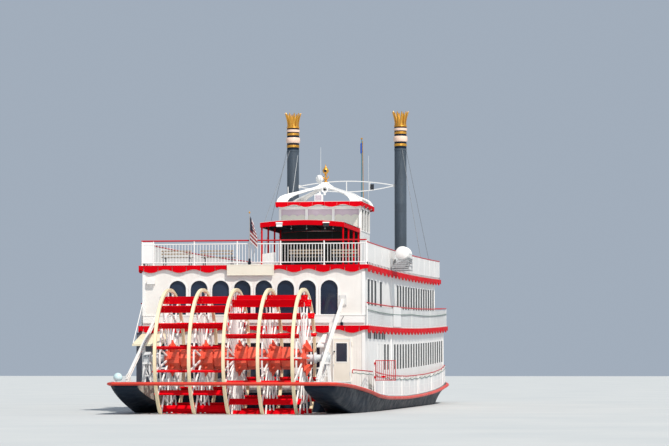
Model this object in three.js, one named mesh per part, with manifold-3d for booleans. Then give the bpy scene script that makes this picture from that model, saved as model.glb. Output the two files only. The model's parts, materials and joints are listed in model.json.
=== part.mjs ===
// Stern-wheel excursion boat, a model at 1:2 of a boat 46 m long.
// Millimetres, +Y to the bow, +X to starboard, +Z up. The waterline is at z = 0, the origin amidships.
import * as THREE from 'three';
import { mergeVertices } from 'three/addons/utils/BufferGeometryUtils.js';
import Module from 'manifold-3d';

const wasm = await Module();
wasm.setup();

// Scale: the tables below are written in metres of the real boat, and metres() turns them into
// millimetres of the model. Lengths along the boat are counted forward from the stern wall.
const M = 500;
const GAP = 0.3;
const AMIDSHIPS = 15.7 * M;

function metres(table) {
  return Object.fromEntries(Object.entries(table).map(([name, value]) => [name, value * M]));
}

function rowsInMetres(rows) {
  return rows.map((row) => row.map((value) => value * M));
}

// Places along the boat
const ALONG = metres({
  sternBeam: -7.2,
  wellFront: -0.4,
  wall: 0,
  canopyAft: 13,
  canopyFront: 18.5,
  pilotAft: 18.6,
  pilotFront: 21.8,
  upperFront: 27,
  stacks: 27.9,
  thirdFront: 28.6,
  lowerFront: 31.3,
  deckJoint: 31.6,
  secondFront: 32,
  jackstaff: 33.8,
});

// Half-widths of the boat
const HALF = metres({ well: 3.48, wall: 4.96, deck: 5.1, rail: 5.06 });
const WHOLE_BEAM = [-1.1 * HALF.deck, 1.1 * HALF.deck];

// Thicknesses
const THICK = metres({ deck: 0.12, wall: 0.06, valance: 0.05, panel: 0.04 });

// Columns: place along the boat, height of the guard rail, height of the main deck
const SHEER = rowsInMetres([
  [-7.2, 1.28, 1.35],
  [-5.4, 1.22, 1.3],
  [-3.6, 1.13, 1.22],
  [-1.8, 1.0, 1.09],
  [-0.4, 0.88, 0.98],
  [2, 0.69, 0.79],
  [5, 0.58, 0.68],
  [8, 0.54, 0.64],
  [12, 0.51, 0.61],
  [16, 0.54, 0.64],
  [20, 0.6, 0.7],
  [24, 0.7, 0.8],
  [28, 0.86, 0.96],
  [31.6, 1.05, 1.15],
  [34.6, 1.24, 1.34],
  [36.6, 1.4, 1.5],
  [38, 1.53, 1.63],
  [38.6, 1.58, 1.68],
]);

// Columns: place, half-width at the guard, at the waterline and at the bottom, height of the bottom
const HULL_LINES = rowsInMetres([
  [-0.4, 5.3, 5.02, 4.7, -0.3],
  [2, 5.35, 5.05, 4.75, -0.75],
  [5, 5.35, 5.05, 4.75, -1.25],
  [8, 5.35, 5.05, 4.75, -1.4],
  [12, 5.35, 5.05, 4.75, -1.4],
  [16, 5.35, 5.05, 4.75, -1.4],
  [20, 5.35, 5.05, 4.75, -1.4],
  [24, 5.35, 5.02, 4.7, -1.4],
  [28, 5.28, 4.75, 4.3, -1.4],
  [31.6, 5.08, 3.9, 3.2, -1.35],
  [34.6, 4.1, 2.5, 1.7, -1.15],
  [36.6, 3.0, 1.35, 0.8, -0.8],
  [38, 1.75, 0.5, 0.3, -0.25],
  [38.6, 0.95, 0.1, 0.06, 0.3],
]);

// Columns: place, half-width of the quarter at the guard, half-width and height of its swelling side,
// half-width and height of its lower edge, height of its edge beside the wheel
const QUARTER_LINES = rowsInMetres([
  [-7.2, 4.5, 4.47, 1.15, 4.4, 1.12, 1.12],
  [-6.9, 4.72, 4.64, 1.06, 4.5, 0.98, 1.01],
  [-5.4, 4.92, 4.75, 0.7, 4.5, 0.53, 0.72],
  [-3.6, 5.05, 4.86, 0.4, 4.58, 0.2, 0.45],
  [-1.8, 5.2, 4.97, 0.15, 4.66, -0.1, 0.14],
  [-0.4, 5.3, 5.02, -0.06, 4.7, -0.3, -0.3],
]);

// Materials
function finish(colour, roughness, metalness = 0) {
  return new THREE.MeshStandardMaterial({ color: colour, roughness, metalness });
}
const black = finish(0x101820, 0.35);
const red = finish(0xd2141c, 0.4);
const orange = finish(0xe85a40, 0.4);
const white = finish(0xece7de, 0.5);
const grey = finish(0xb8bcbc, 0.6);
const cream = finish(0xe8ddb5, 0.5);
const deckGrey = finish(0x8c8f8c, 0.8);
const charcoal = finish(0x46505c, 0.45);
const gold = finish(0xd9a030, 0.3, 0.9);
const blueCloth = finish(0x2c3e8c, 0.9);

// Geometry tools: solids in and out of manifold-3d
function toSolid(geometry) {
  const bare = geometry.clone();
  bare.deleteAttribute('normal');
  bare.deleteAttribute('uv');
  const merged = mergeVertices(bare, 1e-3);
  return new wasm.Manifold(new wasm.Mesh({
    numProp: 3,
    vertProperties: new Float32Array(merged.attributes.position.array),
    triVerts: new Uint32Array(merged.index.array),
  }));
}

function toGeometry(solid) {
  const mesh = solid.getMesh();
  const geometry = new THREE.BufferGeometry();
  geometry.setAttribute('position', new THREE.BufferAttribute(new Float32Array(mesh.vertProperties), 3));
  geometry.setIndex(new THREE.BufferAttribute(new Uint32Array(mesh.triVerts), 1));
  return geometry;
}

function join(...pieces) {
  return toGeometry(pieces.flat().map(toSolid).reduce((all, piece) => all.add(piece)));
}

function cut(body, ...tools) {
  return toGeometry(tools.flat().map(toSolid).reduce((rest, tool) => rest.subtract(tool), toSolid(body)));
}

function shared(first, second) {
  return toGeometry(toSolid(first).intersect(toSolid(second)));
}

// Geometry tools: basic forms
function box([x0, x1], [y0, y1], [z0, z1]) {
  const geometry = new THREE.BoxGeometry(x1 - x0, y1 - y0, z1 - z0);
  return geometry.translate((x0 + x1) / 2, (y0 + y1) / 2, (z0 + z1) / 2);
}

const AXIS = {
  x: new THREE.Vector3(1, 0, 0),
  y: new THREE.Vector3(0, 1, 0),
  z: new THREE.Vector3(0, 0, 1),
};

// An outline without the points that lie on a straight line between their neighbours
const STRAIGHT = 1e-3;

function cornersOf(outline) {
  const corners = outline.filter(([u, v], i) => {
    const [before, after] = [outline.at(i - 1), outline[(i + 1) % outline.length]];
    const [du, dv] = [after[0] - before[0], after[1] - before[1]];
    return Math.abs((u - before[0]) * dv - (v - before[1]) * du) > STRAIGHT * Math.hypot(du, dv);
  });
  return corners.map(([u, v]) => new THREE.Vector2(u, v));
}

// An outline pushed along one axis: [y, z] points along x, [x, z] points along y, [x, y] points along z
function prism(axis, outline, [from, to], holes = []) {
  if (holes.length) {
    return cut(prism(axis, outline, [from, to]), holes.map((hole) => prism(axis, hole, [from - 1, to + 1])));
  }
  const shape = new THREE.Shape(cornersOf(outline));
  const geometry = new THREE.ExtrudeGeometry(shape, { depth: to - from, bevelEnabled: false });
  const turn = new THREE.Matrix4();
  if (axis === 'x') turn.makeBasis(AXIS.y, AXIS.z, AXIS.x);
  if (axis === 'y') turn.makeBasis(AXIS.x, AXIS.z, AXIS.y.clone().negate());
  geometry.applyMatrix4(turn);
  if (axis === 'x') return geometry.translate(from, 0, 0);
  if (axis === 'y') return geometry.translate(0, to, 0);
  return geometry.translate(0, 0, from);
}

function flipped(geometry) {
  const index = geometry.index.array;
  for (let i = 0; i < index.length; i += 3) {
    [index[i], index[i + 1]] = [index[i + 1], index[i]];
  }
  return geometry;
}

function enclosedVolume(geometry) {
  const [a, b, c] = [new THREE.Vector3(), new THREE.Vector3(), new THREE.Vector3()];
  const { position } = geometry.attributes;
  const index = geometry.index.array;
  let volume = 0;
  for (let i = 0; i < index.length; i += 3) {
    a.fromBufferAttribute(position, index[i]);
    b.fromBufferAttribute(position, index[i + 1]);
    c.fromBufferAttribute(position, index[i + 2]);
    volume += a.dot(b.cross(c)) / 6;
  }
  return volume;
}

// Rings of [x, y, z] points joined in order, closed on themselves or capped at both ends
function loft(rings, closed = false) {
  const sides = rings[0].length;
  const index = [];
  const spans = closed ? rings.length : rings.length - 1;
  for (let i = 0; i < spans; i++) {
    const here = i * sides;
    const next = ((i + 1) % rings.length) * sides;
    for (let j = 0; j < sides; j++) {
      const k = (j + 1) % sides;
      index.push(here + j, here + k, next + k, here + j, next + k, next + j);
    }
  }
  const last = (rings.length - 1) * sides;
  for (let j = 1; j < sides - 1 && !closed; j++) {
    index.push(0, j + 1, j, last, last + j, last + j + 1);
  }
  const geometry = new THREE.BufferGeometry();
  geometry.setAttribute('position', new THREE.Float32BufferAttribute(rings.flat(2), 3));
  geometry.setIndex(index);
  return enclosedVolume(geometry) < 0 ? flipped(geometry) : geometry;
}

// A straight round bar between two points
function rod(from, to, radius, sides = 6, endRadius = radius) {
  const [start, end] = [new THREE.Vector3(...from), new THREE.Vector3(...to)];
  const along = end.clone().sub(start);
  const geometry = new THREE.CylinderGeometry(endRadius, radius, along.length(), sides);
  geometry.applyQuaternion(new THREE.Quaternion().setFromUnitVectors(AXIS.y, along.normalize()));
  const middle = start.add(end).multiplyScalar(0.5);
  return geometry.translate(middle.x, middle.y, middle.z);
}

// A turned form about an upright axis, from [radius, height] points
function turned(profile, sides, [x, y, z] = [0, 0, 0]) {
  const points = profile.map(([radius, height]) => new THREE.Vector2(radius, height));
  return new THREE.LatheGeometry(points, sides).rotateX(Math.PI / 2).translate(x, y, z);
}

// A section swept along a plan path: the section is [offset outward, height] points at each place
function sweep(path, section, closed = false) {
  const rings = path.map(([x, y], i) => {
    const before = path[i - 1] ?? (closed ? path.at(-1) : null);
    const after = path[i + 1] ?? (closed ? path[0] : null);
    const legs = [before && [x - before[0], y - before[1]], after && [after[0] - x, after[1] - y]];
    const unit = legs.filter(Boolean).map(([dx, dy]) => [dx / Math.hypot(dx, dy), dy / Math.hypot(dx, dy)]);
    const sum = unit.reduce((a, b) => [a[0] + b[0], a[1] + b[1]]);
    const length = Math.hypot(...sum);
    const normal = [sum[1] / length, -sum[0] / length];
    const mitre = 1 / (normal[0] * unit[0][1] - normal[1] * unit[0][0]);
    return section(y).map(([out, z]) => [x + normal[0] * out * mitre, y + normal[1] * out * mitre, z]);
  });
  return loft(rings, closed);
}

// The sheer: heights along the boat, straight between the rows of the table
const STATIONS = SHEER.map(([place]) => place);

function alongRows(rows, column) {
  return (place) => {
    const after = Math.max(1, rows.findIndex((row) => row[0] >= place));
    const [low, high] = [rows[after - 1], rows[after]];
    const share = (place - low[0]) / (high[0] - low[0]);
    return low[column] + share * (high[column] - low[column]);
  };
}

function sampled(height) {
  return alongRows(STATIONS.map((place) => [place, height(place)]), 1);
}

const DECK = metres({ second: 3.79, secondRise: 0.43, third: 6.46, thirdRise: 0.36, riseLength: 30 });
const guardLine = alongRows(SHEER, 1);
const mainLine = alongRows(SHEER, 2);
const secondLine = sampled((y) => DECK.second + DECK.secondRise * (y > 0 ? (y / DECK.riseLength) ** 2 : 0));
const thirdLine = sampled((y) => DECK.third + DECK.thirdRise * (y > 0 ? (y / DECK.riseLength) ** 2 : 0));

function placesBetween(from, to) {
  return [from, ...STATIONS.filter((place) => place > from + M / 50 && place < to - M / 50), to];
}

// The [y, z] outline between two lines that follow the sheer
function sideOutline(from, to, bottom, top) {
  const places = placesBetween(from, to);
  return [...places.map((y) => [y, bottom(y)]), ...places.toReversed().map((y) => [y, top(y)])];
}

const raised = (line, by) => (y) => line(y) + by;

// A piece that stands on a deck is trimmed to it
function standingOn(line, geometry) {
  const all = [STATIONS[0], STATIONS.at(-1)];
  const width = HALF.deck * 2;
  const below = prism('x', sideOutline(...all, () => -width, raised(line, GAP)), [-width, width]);
  return cut(geometry, below);
}

// The model: a group whose origin is at the stern wall, moved so that the model's is amidships
const model = new THREE.Group();
const boat = new THREE.Group();
boat.position.y = -AMIDSHIPS;
model.add(boat);

function add(name, geometry, material) {
  const mesh = new THREE.Mesh(geometry, material);
  mesh.name = name;
  boat.add(mesh);
  return mesh;
}

function mirrored(geometry) {
  const copy = mergeVertices(geometry.clone());
  copy.deleteAttribute('normal');
  return flipped(copy.scale(-1, 1, 1));
}

function addPair(name, geometry, material) {
  add(`${name}_starboard`, geometry, material);
  add(`${name}_port`, mirrored(geometry), material);
}

// Hull: a flared shell with a flat deck, and a pad under each rudder stock
const RUDDER = metres({ x: 1.9, y: 1.2, stock: 0.09, pad: 0.2, padFoot: -0.66, top: -0.74, foot: -1.4 });
const bilgeShare = 0.62;
const guardDepth = 0.1 * M;

function hullSection([place, guard, water, bottom, foot]) {
  const half = [
    [guard, mainLine(place) - THICK.deck - GAP],
    [guard, guardLine(place) - guardDepth],
    [water, Math.min(0, foot * 0.2)],
    [(water + bottom) / 2 + 0.04 * M, foot * bilgeShare],
    [bottom, foot],
  ];
  if (foot > 0) half.splice(2, 3, [water * 2, foot + 0.5 * M], [water * 1.5, foot + 0.2 * M], [bottom, foot]);
  const port = half.toReversed().map(([x, z]) => [-x, z]);
  return [...half, ...port].map(([x, z]) => [x, place, z]);
}

const hullShell = loft(HULL_LINES.map(hullSection));
const rudderPads = [-1, 1].map((side) => {
  const x = side * RUDDER.x;
  return rod([x, RUDDER.y, RUDDER.padFoot], [x, RUDDER.y, 0], RUDDER.pad, 12);
});
add('hull_body', join(hullShell, rudderPads), black);

// Quarters: the two raked ends of the hull, either side of the paddle wheel
function quarterSection([place, guard, swell, swellHigh, chine, chineHigh, wellHigh]) {
  const y = Math.min(place, ALONG.wellFront - GAP);
  const section = [
    [HALF.well, mainLine(y)],
    [guard, mainLine(y)],
    [guard, guardLine(y) - guardDepth],
    [swell, swellHigh],
    [chine, chineHigh],
    [HALF.well, wellHigh],
  ];
  return section.map(([x, z]) => [x, y, z]);
}
addPair('quarter', loft(QUARTER_LINES.map(quarterSection)), black);

// Guard rail: a half-round bar all round the hull and across the stern, aft of the wheel
const GUARD = metres({ radius: 0.075, depth: 0.15 });
const guardSide = [
  ...QUARTER_LINES.map(([y, x]) => [x, y]),
  ...HULL_LINES.slice(1).map(([y, x]) => [x, y]),
];
const guardPath = [...guardSide, ...guardSide.toReversed().map(([x, y]) => [-x, y])];

function guardSection(y) {
  const z = guardLine(y);
  return [
    [GAP, z - GUARD.radius],
    [GUARD.depth * 0.6, z - GUARD.radius],
    [GUARD.depth, z - GUARD.radius * 0.4],
    [GUARD.depth, z + GUARD.radius * 0.4],
    [GUARD.depth * 0.6, z + GUARD.radius],
    [GAP, z + GUARD.radius],
  ];
}
add('guard_rail', sweep(guardPath, guardSection, true), orange);

// Main deck: a plate over the hull, following its plan, in two lengths that meet under the bow rail's ends
const hullPlan = [
  ...HULL_LINES.map(([y, x]) => [x, y]),
  ...HULL_LINES.toReversed().map(([y, x]) => [-x, y]),
];

function mainDeckPlate(from, to) {
  const strip = sideOutline(from, to, raised(mainLine, -THICK.deck), mainLine);
  return shared(prism('z', hullPlan, [0, 3 * M]), prism('x', strip, WHOLE_BEAM));
}
add('main_deck', mainDeckPlate(ALONG.wellFront, ALONG.deckJoint - GAP), deckGrey);
add('fore_deck', mainDeckPlate(ALONG.deckJoint, STATIONS.at(-1)), deckGrey);

// Openings: rectangles and round-headed arches, as outlines to cut from a wall
const ARCH_STEPS = 6;

function opening(from, to, sill, head) {
  return [[from, sill(from)], [to, sill(to)], [to, head(to)], [from, head(from)]];
}

function archOpening(centre, width, sill, crown) {
  const radius = width / 2;
  const curve = Array.from({ length: ARCH_STEPS + 1 }, (_, i) => {
    const angle = (i / ARCH_STEPS) * Math.PI;
    return [centre + radius * Math.cos(angle), crown - radius + radius * Math.sin(angle)];
  });
  return [[centre - radius, sill], [centre + radius, sill], ...curve];
}

// Columns: aft edge of the first window, width, pitch, number, sill and head below the deck above
const LOWER_WINDOWS = [
  [9.9, 0.65, 1.07, 20, 1.96, 0.78],
  [4.2, 0.65, 1.07, 4, 1.96, 0.78],
  [0.25, 0.8, 1, 1, 2.5, 0.6],
];
const UPPER_WINDOWS = [
  [0.9, 0.68, 1.1, 3, 1.75, 0.6],
  [4.9, 0.75, 1, 1, 2.5, 0.6],
  [11, 0.7, 1.07, 15, 1.735, 0.6],
];

function windowHoles(rows, ceiling) {
  return rows.flatMap(([first, width, pitch, number, sill, head]) => (
    Array.from({ length: number }, (_, i) => {
      const from = (first + i * pitch) * M;
      return opening(from, from + width * M, raised(ceiling, -sill * M), raised(ceiling, -head * M));
    })
  ));
}

// Side walls of the two houses, each between a floor line and a ceiling line
function sideWall(front, floor, ceiling, windows) {
  const outline = sideOutline(
    THICK.wall + GAP,
    front - GAP,
    raised(floor, GAP),
    raised(ceiling, -THICK.deck - GAP),
  );
  return prism('x', outline, [HALF.wall - THICK.wall, HALF.wall], windowHoles(windows, ceiling));
}

// Cross walls of the two houses, trimmed to the sloping deck under them
function crossWall(place, floor, ceiling, holes) {
  const [bottom, top] = [floor(place) - 0.1 * M, ceiling(place) - THICK.deck - GAP];
  const outline = [[-HALF.wall, bottom], [HALF.wall, bottom], [HALF.wall, top], [-HALF.wall, top]];
  return standingOn(floor, prism('y', outline, [place, place + THICK.wall], holes));
}

const always = (value) => () => value;

function rowOfOpenings(centres, width, sill, head) {
  const heights = [always(sill * M), always(head * M)];
  return centres.map((x) => opening((x - width / 2) * M, (x + width / 2) * M, ...heights));
}

// Stern door: it lies against the aft wall and swings aft on two barrels at its outboard edge
const DOOR = metres({ from: 3.54, to: 4.38, sill: 1.3, head: 3.26, thick: 0.045, lap: 0.04 });
const DOOR_HINGE = metres({ x: 4.405, y: -0.03, radius: 0.022, length: 0.16, low: 1.6, high: 2.9 });
const DOOR_WINDOW = metres({ from: 3.7, to: 4.2, sill: 2.2, head: 3.03 });

const doorway = opening(
  DOOR.from + DOOR.lap,
  DOOR.to - DOOR.lap,
  always(DOOR.sill + DOOR.lap),
  always(DOOR.head - DOOR.lap),
);
const sternWindows = rowOfOpenings([-3.9, -2.6, -1.3, 0, 1.3, 2.6], 0.8, 1.95, 3.05);
add('lower_aft_wall', crossWall(ALONG.wall, mainLine, secondLine, [doorway, ...sternWindows]), white);
addPair('lower_side_wall', sideWall(ALONG.lowerFront, mainLine, secondLine, LOWER_WINDOWS), white);

// The lower house's front: a wall either side of a doorway as high as the deck above
const FORE_DOORWAY = 0.55 * M;
const foreWindows = rowOfOpenings([1.3, 2.6, 3.9], 0.8, 2.3, 3.7);
const foreWall = crossWall(ALONG.lowerFront, mainLine, secondLine, foreWindows);
const besideDoorway = box(
  [FORE_DOORWAY, HALF.deck],
  [ALONG.lowerFront - THICK.wall, ALONG.lowerFront + 2 * THICK.wall],
  [0, DECK.second + DECK.secondRise * 2],
);
addPair('lower_front_wall', shared(foreWall, besideDoorway), white);

const doorPlate = prism(
  'y',
  opening(DOOR.from, DOOR.to, always(DOOR.sill), always(DOOR.head)),
  [-GAP - DOOR.thick, -GAP],
  [opening(DOOR_WINDOW.from, DOOR_WINDOW.to, always(DOOR_WINDOW.sill), always(DOOR_WINDOW.head))],
);
const doorBarrels = [DOOR_HINGE.low, DOOR_HINGE.high].flatMap((z) => {
  const { x, y, radius, length } = DOOR_HINGE;
  const leaf = box([DOOR.to - DOOR.lap, x], [y - radius, y - radius / 2], [z, z + length]);
  return [rod([x, y, z], [x, y, z + length], radius, 8), leaf];
});
const PULL = metres({ inset: 0.09, z: 2.1, reach: 0.1, radius: 0.02 });
const pullX = DOOR.from + PULL.inset;
const doorPull = rod([pullX, -PULL.reach, PULL.z], [pullX, -DOOR.thick / 2, PULL.z], PULL.radius);
add('stern_door', join(doorPlate, doorBarrels, doorPull), white);

// Decks of the two upper levels: plates that follow their own sheer
const DECK_AFT = -0.05 * M;

function deckPlate(front, line) {
  const strip = sideOutline(DECK_AFT, front, raised(line, -THICK.deck), line);
  return prism('x', strip, [-HALF.deck, HALF.deck]);
}
add('second_deck', deckPlate(ALONG.secondFront, secondLine), deckGrey);
add('third_deck', deckPlate(ALONG.thirdFront, thirdLine), deckGrey);

// Valances: red bands round the deck edges. The lower edge swings down and up by turns, level at the corners
const VALANCE = metres({ depth: 0.25, wave: 0.07, pitch: 0.644, corner: 0.2 });
const WAVE_STEPS = 3;

function waves(from, to, swing, line) {
  const count = Math.round((to - from) / VALANCE.pitch) * WAVE_STEPS;
  return Array.from({ length: count + 1 }, (_, i) => {
    const along = from + ((to - from) * i) / count;
    return [along, line(along) - swing * Math.sin((i / WAVE_STEPS) * Math.PI)];
  });
}

function valanceEdge(from, to, line) {
  const lower = (along) => line(along) - VALANCE.depth;
  const between = waves(from + VALANCE.corner, to - VALANCE.corner, VALANCE.wave, lower);
  return [[from, lower(from)], ...between, [to, lower(to)]];
}

function valanceRing(front, line) {
  const inner = HALF.deck + GAP;
  const outer = inner + THICK.valance;
  const [aft, fore] = [DECK_AFT - GAP - THICK.valance, front + GAP + THICK.valance];
  const level = [aft + VALANCE.corner, fore - VALANCE.corner];
  const held = (y) => line(Math.min(Math.max(y, level[0]), level[1]));
  const ends = [aft, fore - THICK.valance].map((from) => {
    const height = held(from);
    const outline = [...valanceEdge(-outer, outer, always(height)), [outer, height], [-outer, height]];
    return prism('y', outline, [from, from + THICK.valance]);
  });
  const places = [aft, ...placesBetween(...level), fore];
  const top = places.toReversed().map((y) => [y, held(y)]);
  const side = [...valanceEdge(aft, fore, held), ...top];
  return join(ends, prism('x', side, [inner, outer]), prism('x', side, [-outer, -inner]));
}
const secondRing = valanceRing(ALONG.secondFront, secondLine);
const aftOf = (y) => box(WHOLE_BEAM, [DECK_AFT - M, y], [DECK.second - M, DECK.second + M]);
add('second_valance', cut(secondRing, aftOf(DECK_AFT)), red);
add('second_valance_aft', shared(secondRing, aftOf(DECK_AFT - GAP)), red);
add('third_valance', valanceRing(ALONG.thirdFront, thirdLine), red);

// Upper house: arched windows aft, plain ones along the sides and in front
const ARCH = metres({ pitch: 0.97, width: 0.79, sill: 4.27, crown: 5.8 });
const SILL_BEAM = metres({ low: 3.9, high: 4.23, proud: 0.05 });
const archCentres = [-3.5, -2.5, -1.5, -0.5, 0.5, 1.5, 2.5, 3.5].map((steps) => steps * ARCH.pitch);
const arches = archCentres.map((x) => archOpening(x, ARCH.width, ARCH.sill, ARCH.crown));
const sillHeights = [SILL_BEAM.low, SILL_BEAM.high];
const sillBeam = box([-HALF.wall, HALF.wall], [-SILL_BEAM.proud, THICK.wall / 2], sillHeights);
add('upper_aft_wall', join(crossWall(ALONG.wall, secondLine, thirdLine, arches), sillBeam), white);
addPair('upper_side_wall', sideWall(ALONG.upperFront, secondLine, thirdLine, UPPER_WINDOWS), white);
const balconyWindows = rowOfOpenings([-3.9, -2.6, -1.3, 1.3, 2.6, 3.9], 0.8, 4.95, 6.1);
const balconyDoorway = rowOfOpenings([0], 1.1, 4.3, 6.3);
const balconyOpenings = [...balconyWindows, ...balconyDoorway];
add('upper_front_wall', crossWall(ALONG.upperFront, secondLine, thirdLine, balconyOpenings), white);

// Railings: panels, posts and rails swept round the deck edges
const RAIL = metres({ height: 1.0, lowHeight: 0.93, bar: 0.025, post: 0.03 });

function panelAndRail(path, line, height) {
  const slab = (low, high, width) => (y) => [
    [-width, line(y) + low],
    [width, line(y) + low],
    [width, line(y) + high],
    [-width, line(y) + high],
  ];
  const panel = sweep(path, slab(-RAIL.bar, height, THICK.panel / 2));
  const rail = sweep(path, slab(height - RAIL.bar / 2, height + RAIL.bar * 2, RAIL.bar * 1.4));
  return standingOn(line, join(panel, rail));
}

function railPosts(places, line, height) {
  return places.map(([x, y]) => {
    const post = RAIL.post;
    const heights = [line(y) - M / 10, line(y) + height];
    return standingOn(line, box([x - post, x + post], [y - post, y + post], heights));
  });
}

function loopPath(aft, front) {
  const side = placesBetween(aft, front).map((y) => [HALF.rail, y]);
  return [...side, ...side.toReversed().map(([x, y]) => [-x, y])];
}

const middlePath = loopPath(0.12 * M, ALONG.secondFront - 0.1 * M);
add('middle_rail', panelAndRail(middlePath, secondLine, RAIL.height), grey);
const topPath = loopPath(0.15 * M, ALONG.thirdFront - 0.15 * M);
add('top_bulwark', panelAndRail(topPath, thirdLine, RAIL.height), white);

// Stern rail on the third deck: two long bars on posts, with one solid panel to port
const STERN_RAIL = metres({ y: 0.03, end: 5.05, top: 7.55, second: 7.4, low: 6.58, panelTo: -4.5 });
const sternPosts = [-5.02, -4.5, -2.66, -0.72, 1.22, 3.16, 5.02].map((x) => [x * M, STERN_RAIL.y]);
const sternBars = [[STERN_RAIL.top, 1.4], [STERN_RAIL.second, 1], [STERN_RAIL.low, 1]].map(([z, girth]) => (
  rod([-STERN_RAIL.end, STERN_RAIL.y, z], [STERN_RAIL.end, STERN_RAIL.y, z], RAIL.bar * girth, 6)
));
const sternPanel = box(
  [-STERN_RAIL.end, STERN_RAIL.panelTo],
  [STERN_RAIL.y - THICK.panel / 2, STERN_RAIL.y + THICK.panel / 2],
  [STERN_RAIL.low, STERN_RAIL.top],
);
const sternUprights = railPosts(sternPosts, thirdLine, STERN_RAIL.top - thirdLine(0));
add('stern_rail', join(sternBars, sternPanel, sternUprights), red);

// Main deck bulwarks: along each side from the boarding gate's tall post, and round the bow
const BULWARK = metres({ inset: 0.07, aft: 1.0286, postTop: 2.3 });
const bulwarkAlong = (rows) => rows.map(([y, x]) => [x - BULWARK.inset, y]);
const sideRows = HULL_LINES.filter(([y]) => y > BULWARK.aft && y < ALONG.deckJoint - M / 50);
const halfAt = alongRows(HULL_LINES, 1);
const sideBulwark = bulwarkAlong([
  [BULWARK.aft, halfAt(BULWARK.aft)],
  ...sideRows,
  [ALONG.deckJoint - 0.02 * M, halfAt(ALONG.deckJoint - 0.02 * M)],
]);
const gatePostX = halfAt(BULWARK.aft) - BULWARK.inset;
const gatePost = standingOn(mainLine, box(
  [gatePostX - RAIL.post, gatePostX + RAIL.post],
  [BULWARK.aft, BULWARK.aft + 2 * RAIL.post],
  [0, BULWARK.postTop],
));
addPair('lower_bulwark', join(panelAndRail(sideBulwark, mainLine, RAIL.lowHeight), gatePost), grey);

const bowRows = bulwarkAlong(HULL_LINES.filter(([y]) => y > ALONG.deckJoint - M / 50 && y < STATIONS.at(-1)));
const bowTip = [HULL_LINES.at(-1)[1] - BULWARK.inset, STATIONS.at(-1) - BULWARK.inset];
const bowSide = [...bowRows, bowTip];
const bowPath = [...bowSide, ...bowSide.toReversed().map(([x, y]) => [-x, y])];
add('bow_rail', panelAndRail(bowPath, mainLine, RAIL.lowHeight), grey);

// Boarding gate: a barred gate, swung straight outboard on the aft post of the starboard bulwark
const GATE = metres({
  x: 5.26, y: 1, from: 0.04, length: 0.9, low: 1.38, high: 2.28, half: 0.018, bar: 0.012, barrel: 0.028,
});
const GATE_BARS = 9;
const gateStart = GATE.x + GATE.from;
const gateEnd = gateStart + GATE.length;
const gateRails = [GATE.low, GATE.high - GATE.half * 2].map((z) => (
  box([gateStart, gateEnd], [GATE.y - GATE.half, GATE.y + GATE.half], [z, z + GATE.half * 2])
));
const gateBars = Array.from({ length: GATE_BARS + 2 }, (_, i) => {
  const stile = i === 0 || i === GATE_BARS + 1;
  const half = stile ? GATE.half : GATE.bar;
  const x = gateStart + GATE.half + (i * (GATE.length - 2 * GATE.half)) / (GATE_BARS + 1);
  return box([x - half, x + half], [GATE.y - half, GATE.y + half], [GATE.low, GATE.high]);
});
const gateBarrels = [GATE.low + 0.1 * M, GATE.high - 0.2 * M].flatMap((z) => [
  rod([GATE.x, GATE.y, z], [GATE.x, GATE.y, z + 0.1 * M], GATE.barrel, 8),
  box([GATE.x, gateStart + GATE.half], [GATE.y - GATE.bar, GATE.y + GATE.bar], [z, z + 0.1 * M]),
]);
add('boarding_gate', join(gateRails, gateBars, gateBarrels), red);

// Canopy on the third deck: a cambered roof with a fascia, on posts
const CANOPY = metres({
  half: 2.1, edge: 9.11, crown: 9.23, thick: 0.07, fascia: 0.25, band: 0.05, post: 0.06,
});
const CANOPY_POSTS = [13.12, 14.9, 16.7, 18.4];
const CAMBER_STEPS = 6;
const camber = Array.from({ length: CAMBER_STEPS + 1 }, (_, i) => {
  const share = (2 * i) / CAMBER_STEPS - 1;
  return [share * CANOPY.half, CANOPY.edge + (CANOPY.crown - CANOPY.edge) * (1 - share * share)];
});
const under = (drop) => camber.toReversed().map(([x, z]) => [x, z - drop]);
const canopyRoof = prism('y', [...camber, ...under(CANOPY.thick)], [ALONG.canopyAft, ALONG.canopyFront]);
const bandTop = camber.map(([x, z]) => [x, z - CANOPY.thick / 2]);
const canopyFascia = [
  ...[-CANOPY.half, CANOPY.half - CANOPY.band].map((x) => (
    box(
      [x, x + CANOPY.band],
      [ALONG.canopyAft, ALONG.canopyFront],
      [CANOPY.edge - CANOPY.fascia, CANOPY.edge - CANOPY.thick / 2],
    )
  )),
  ...[ALONG.canopyAft, ALONG.canopyFront - CANOPY.band].map((y) => (
    prism('y', [...bandTop, ...under(CANOPY.fascia)], [y, y + CANOPY.band])
  )),
];
const canopyPostX = CANOPY.half - CANOPY.post;
const canopyPosts = railPosts(
  CANOPY_POSTS.flatMap((y) => [[canopyPostX, y * M], [-canopyPostX, y * M]]),
  thirdLine,
  CANOPY.edge - CANOPY.thick / 2 - thirdLine(ALONG.canopyFront),
);
add('canopy', join(canopyRoof, canopyFascia, canopyPosts), red);

// Pilothouse: four window walls with an inner floor, and a thin dome with an open arch in each side
const PILOT = metres({
  half: 2.14, wall: 0.07, floor: 8.45, sill: 9.0, head: 10.12, top: 10.27, slab: 0.06, mullion: 0.1,
});
const EAVE = metres({
  half: 2.24, aft: 18.1, front: 22.9, low: 10.255, slab: 10.27, high: 10.48, wave: 0.06, band: 0.05,
});
const pilotSpan = [ALONG.pilotAft, ALONG.pilotFront];
const pilotHeights = [DECK.third, PILOT.top - GAP];

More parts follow.
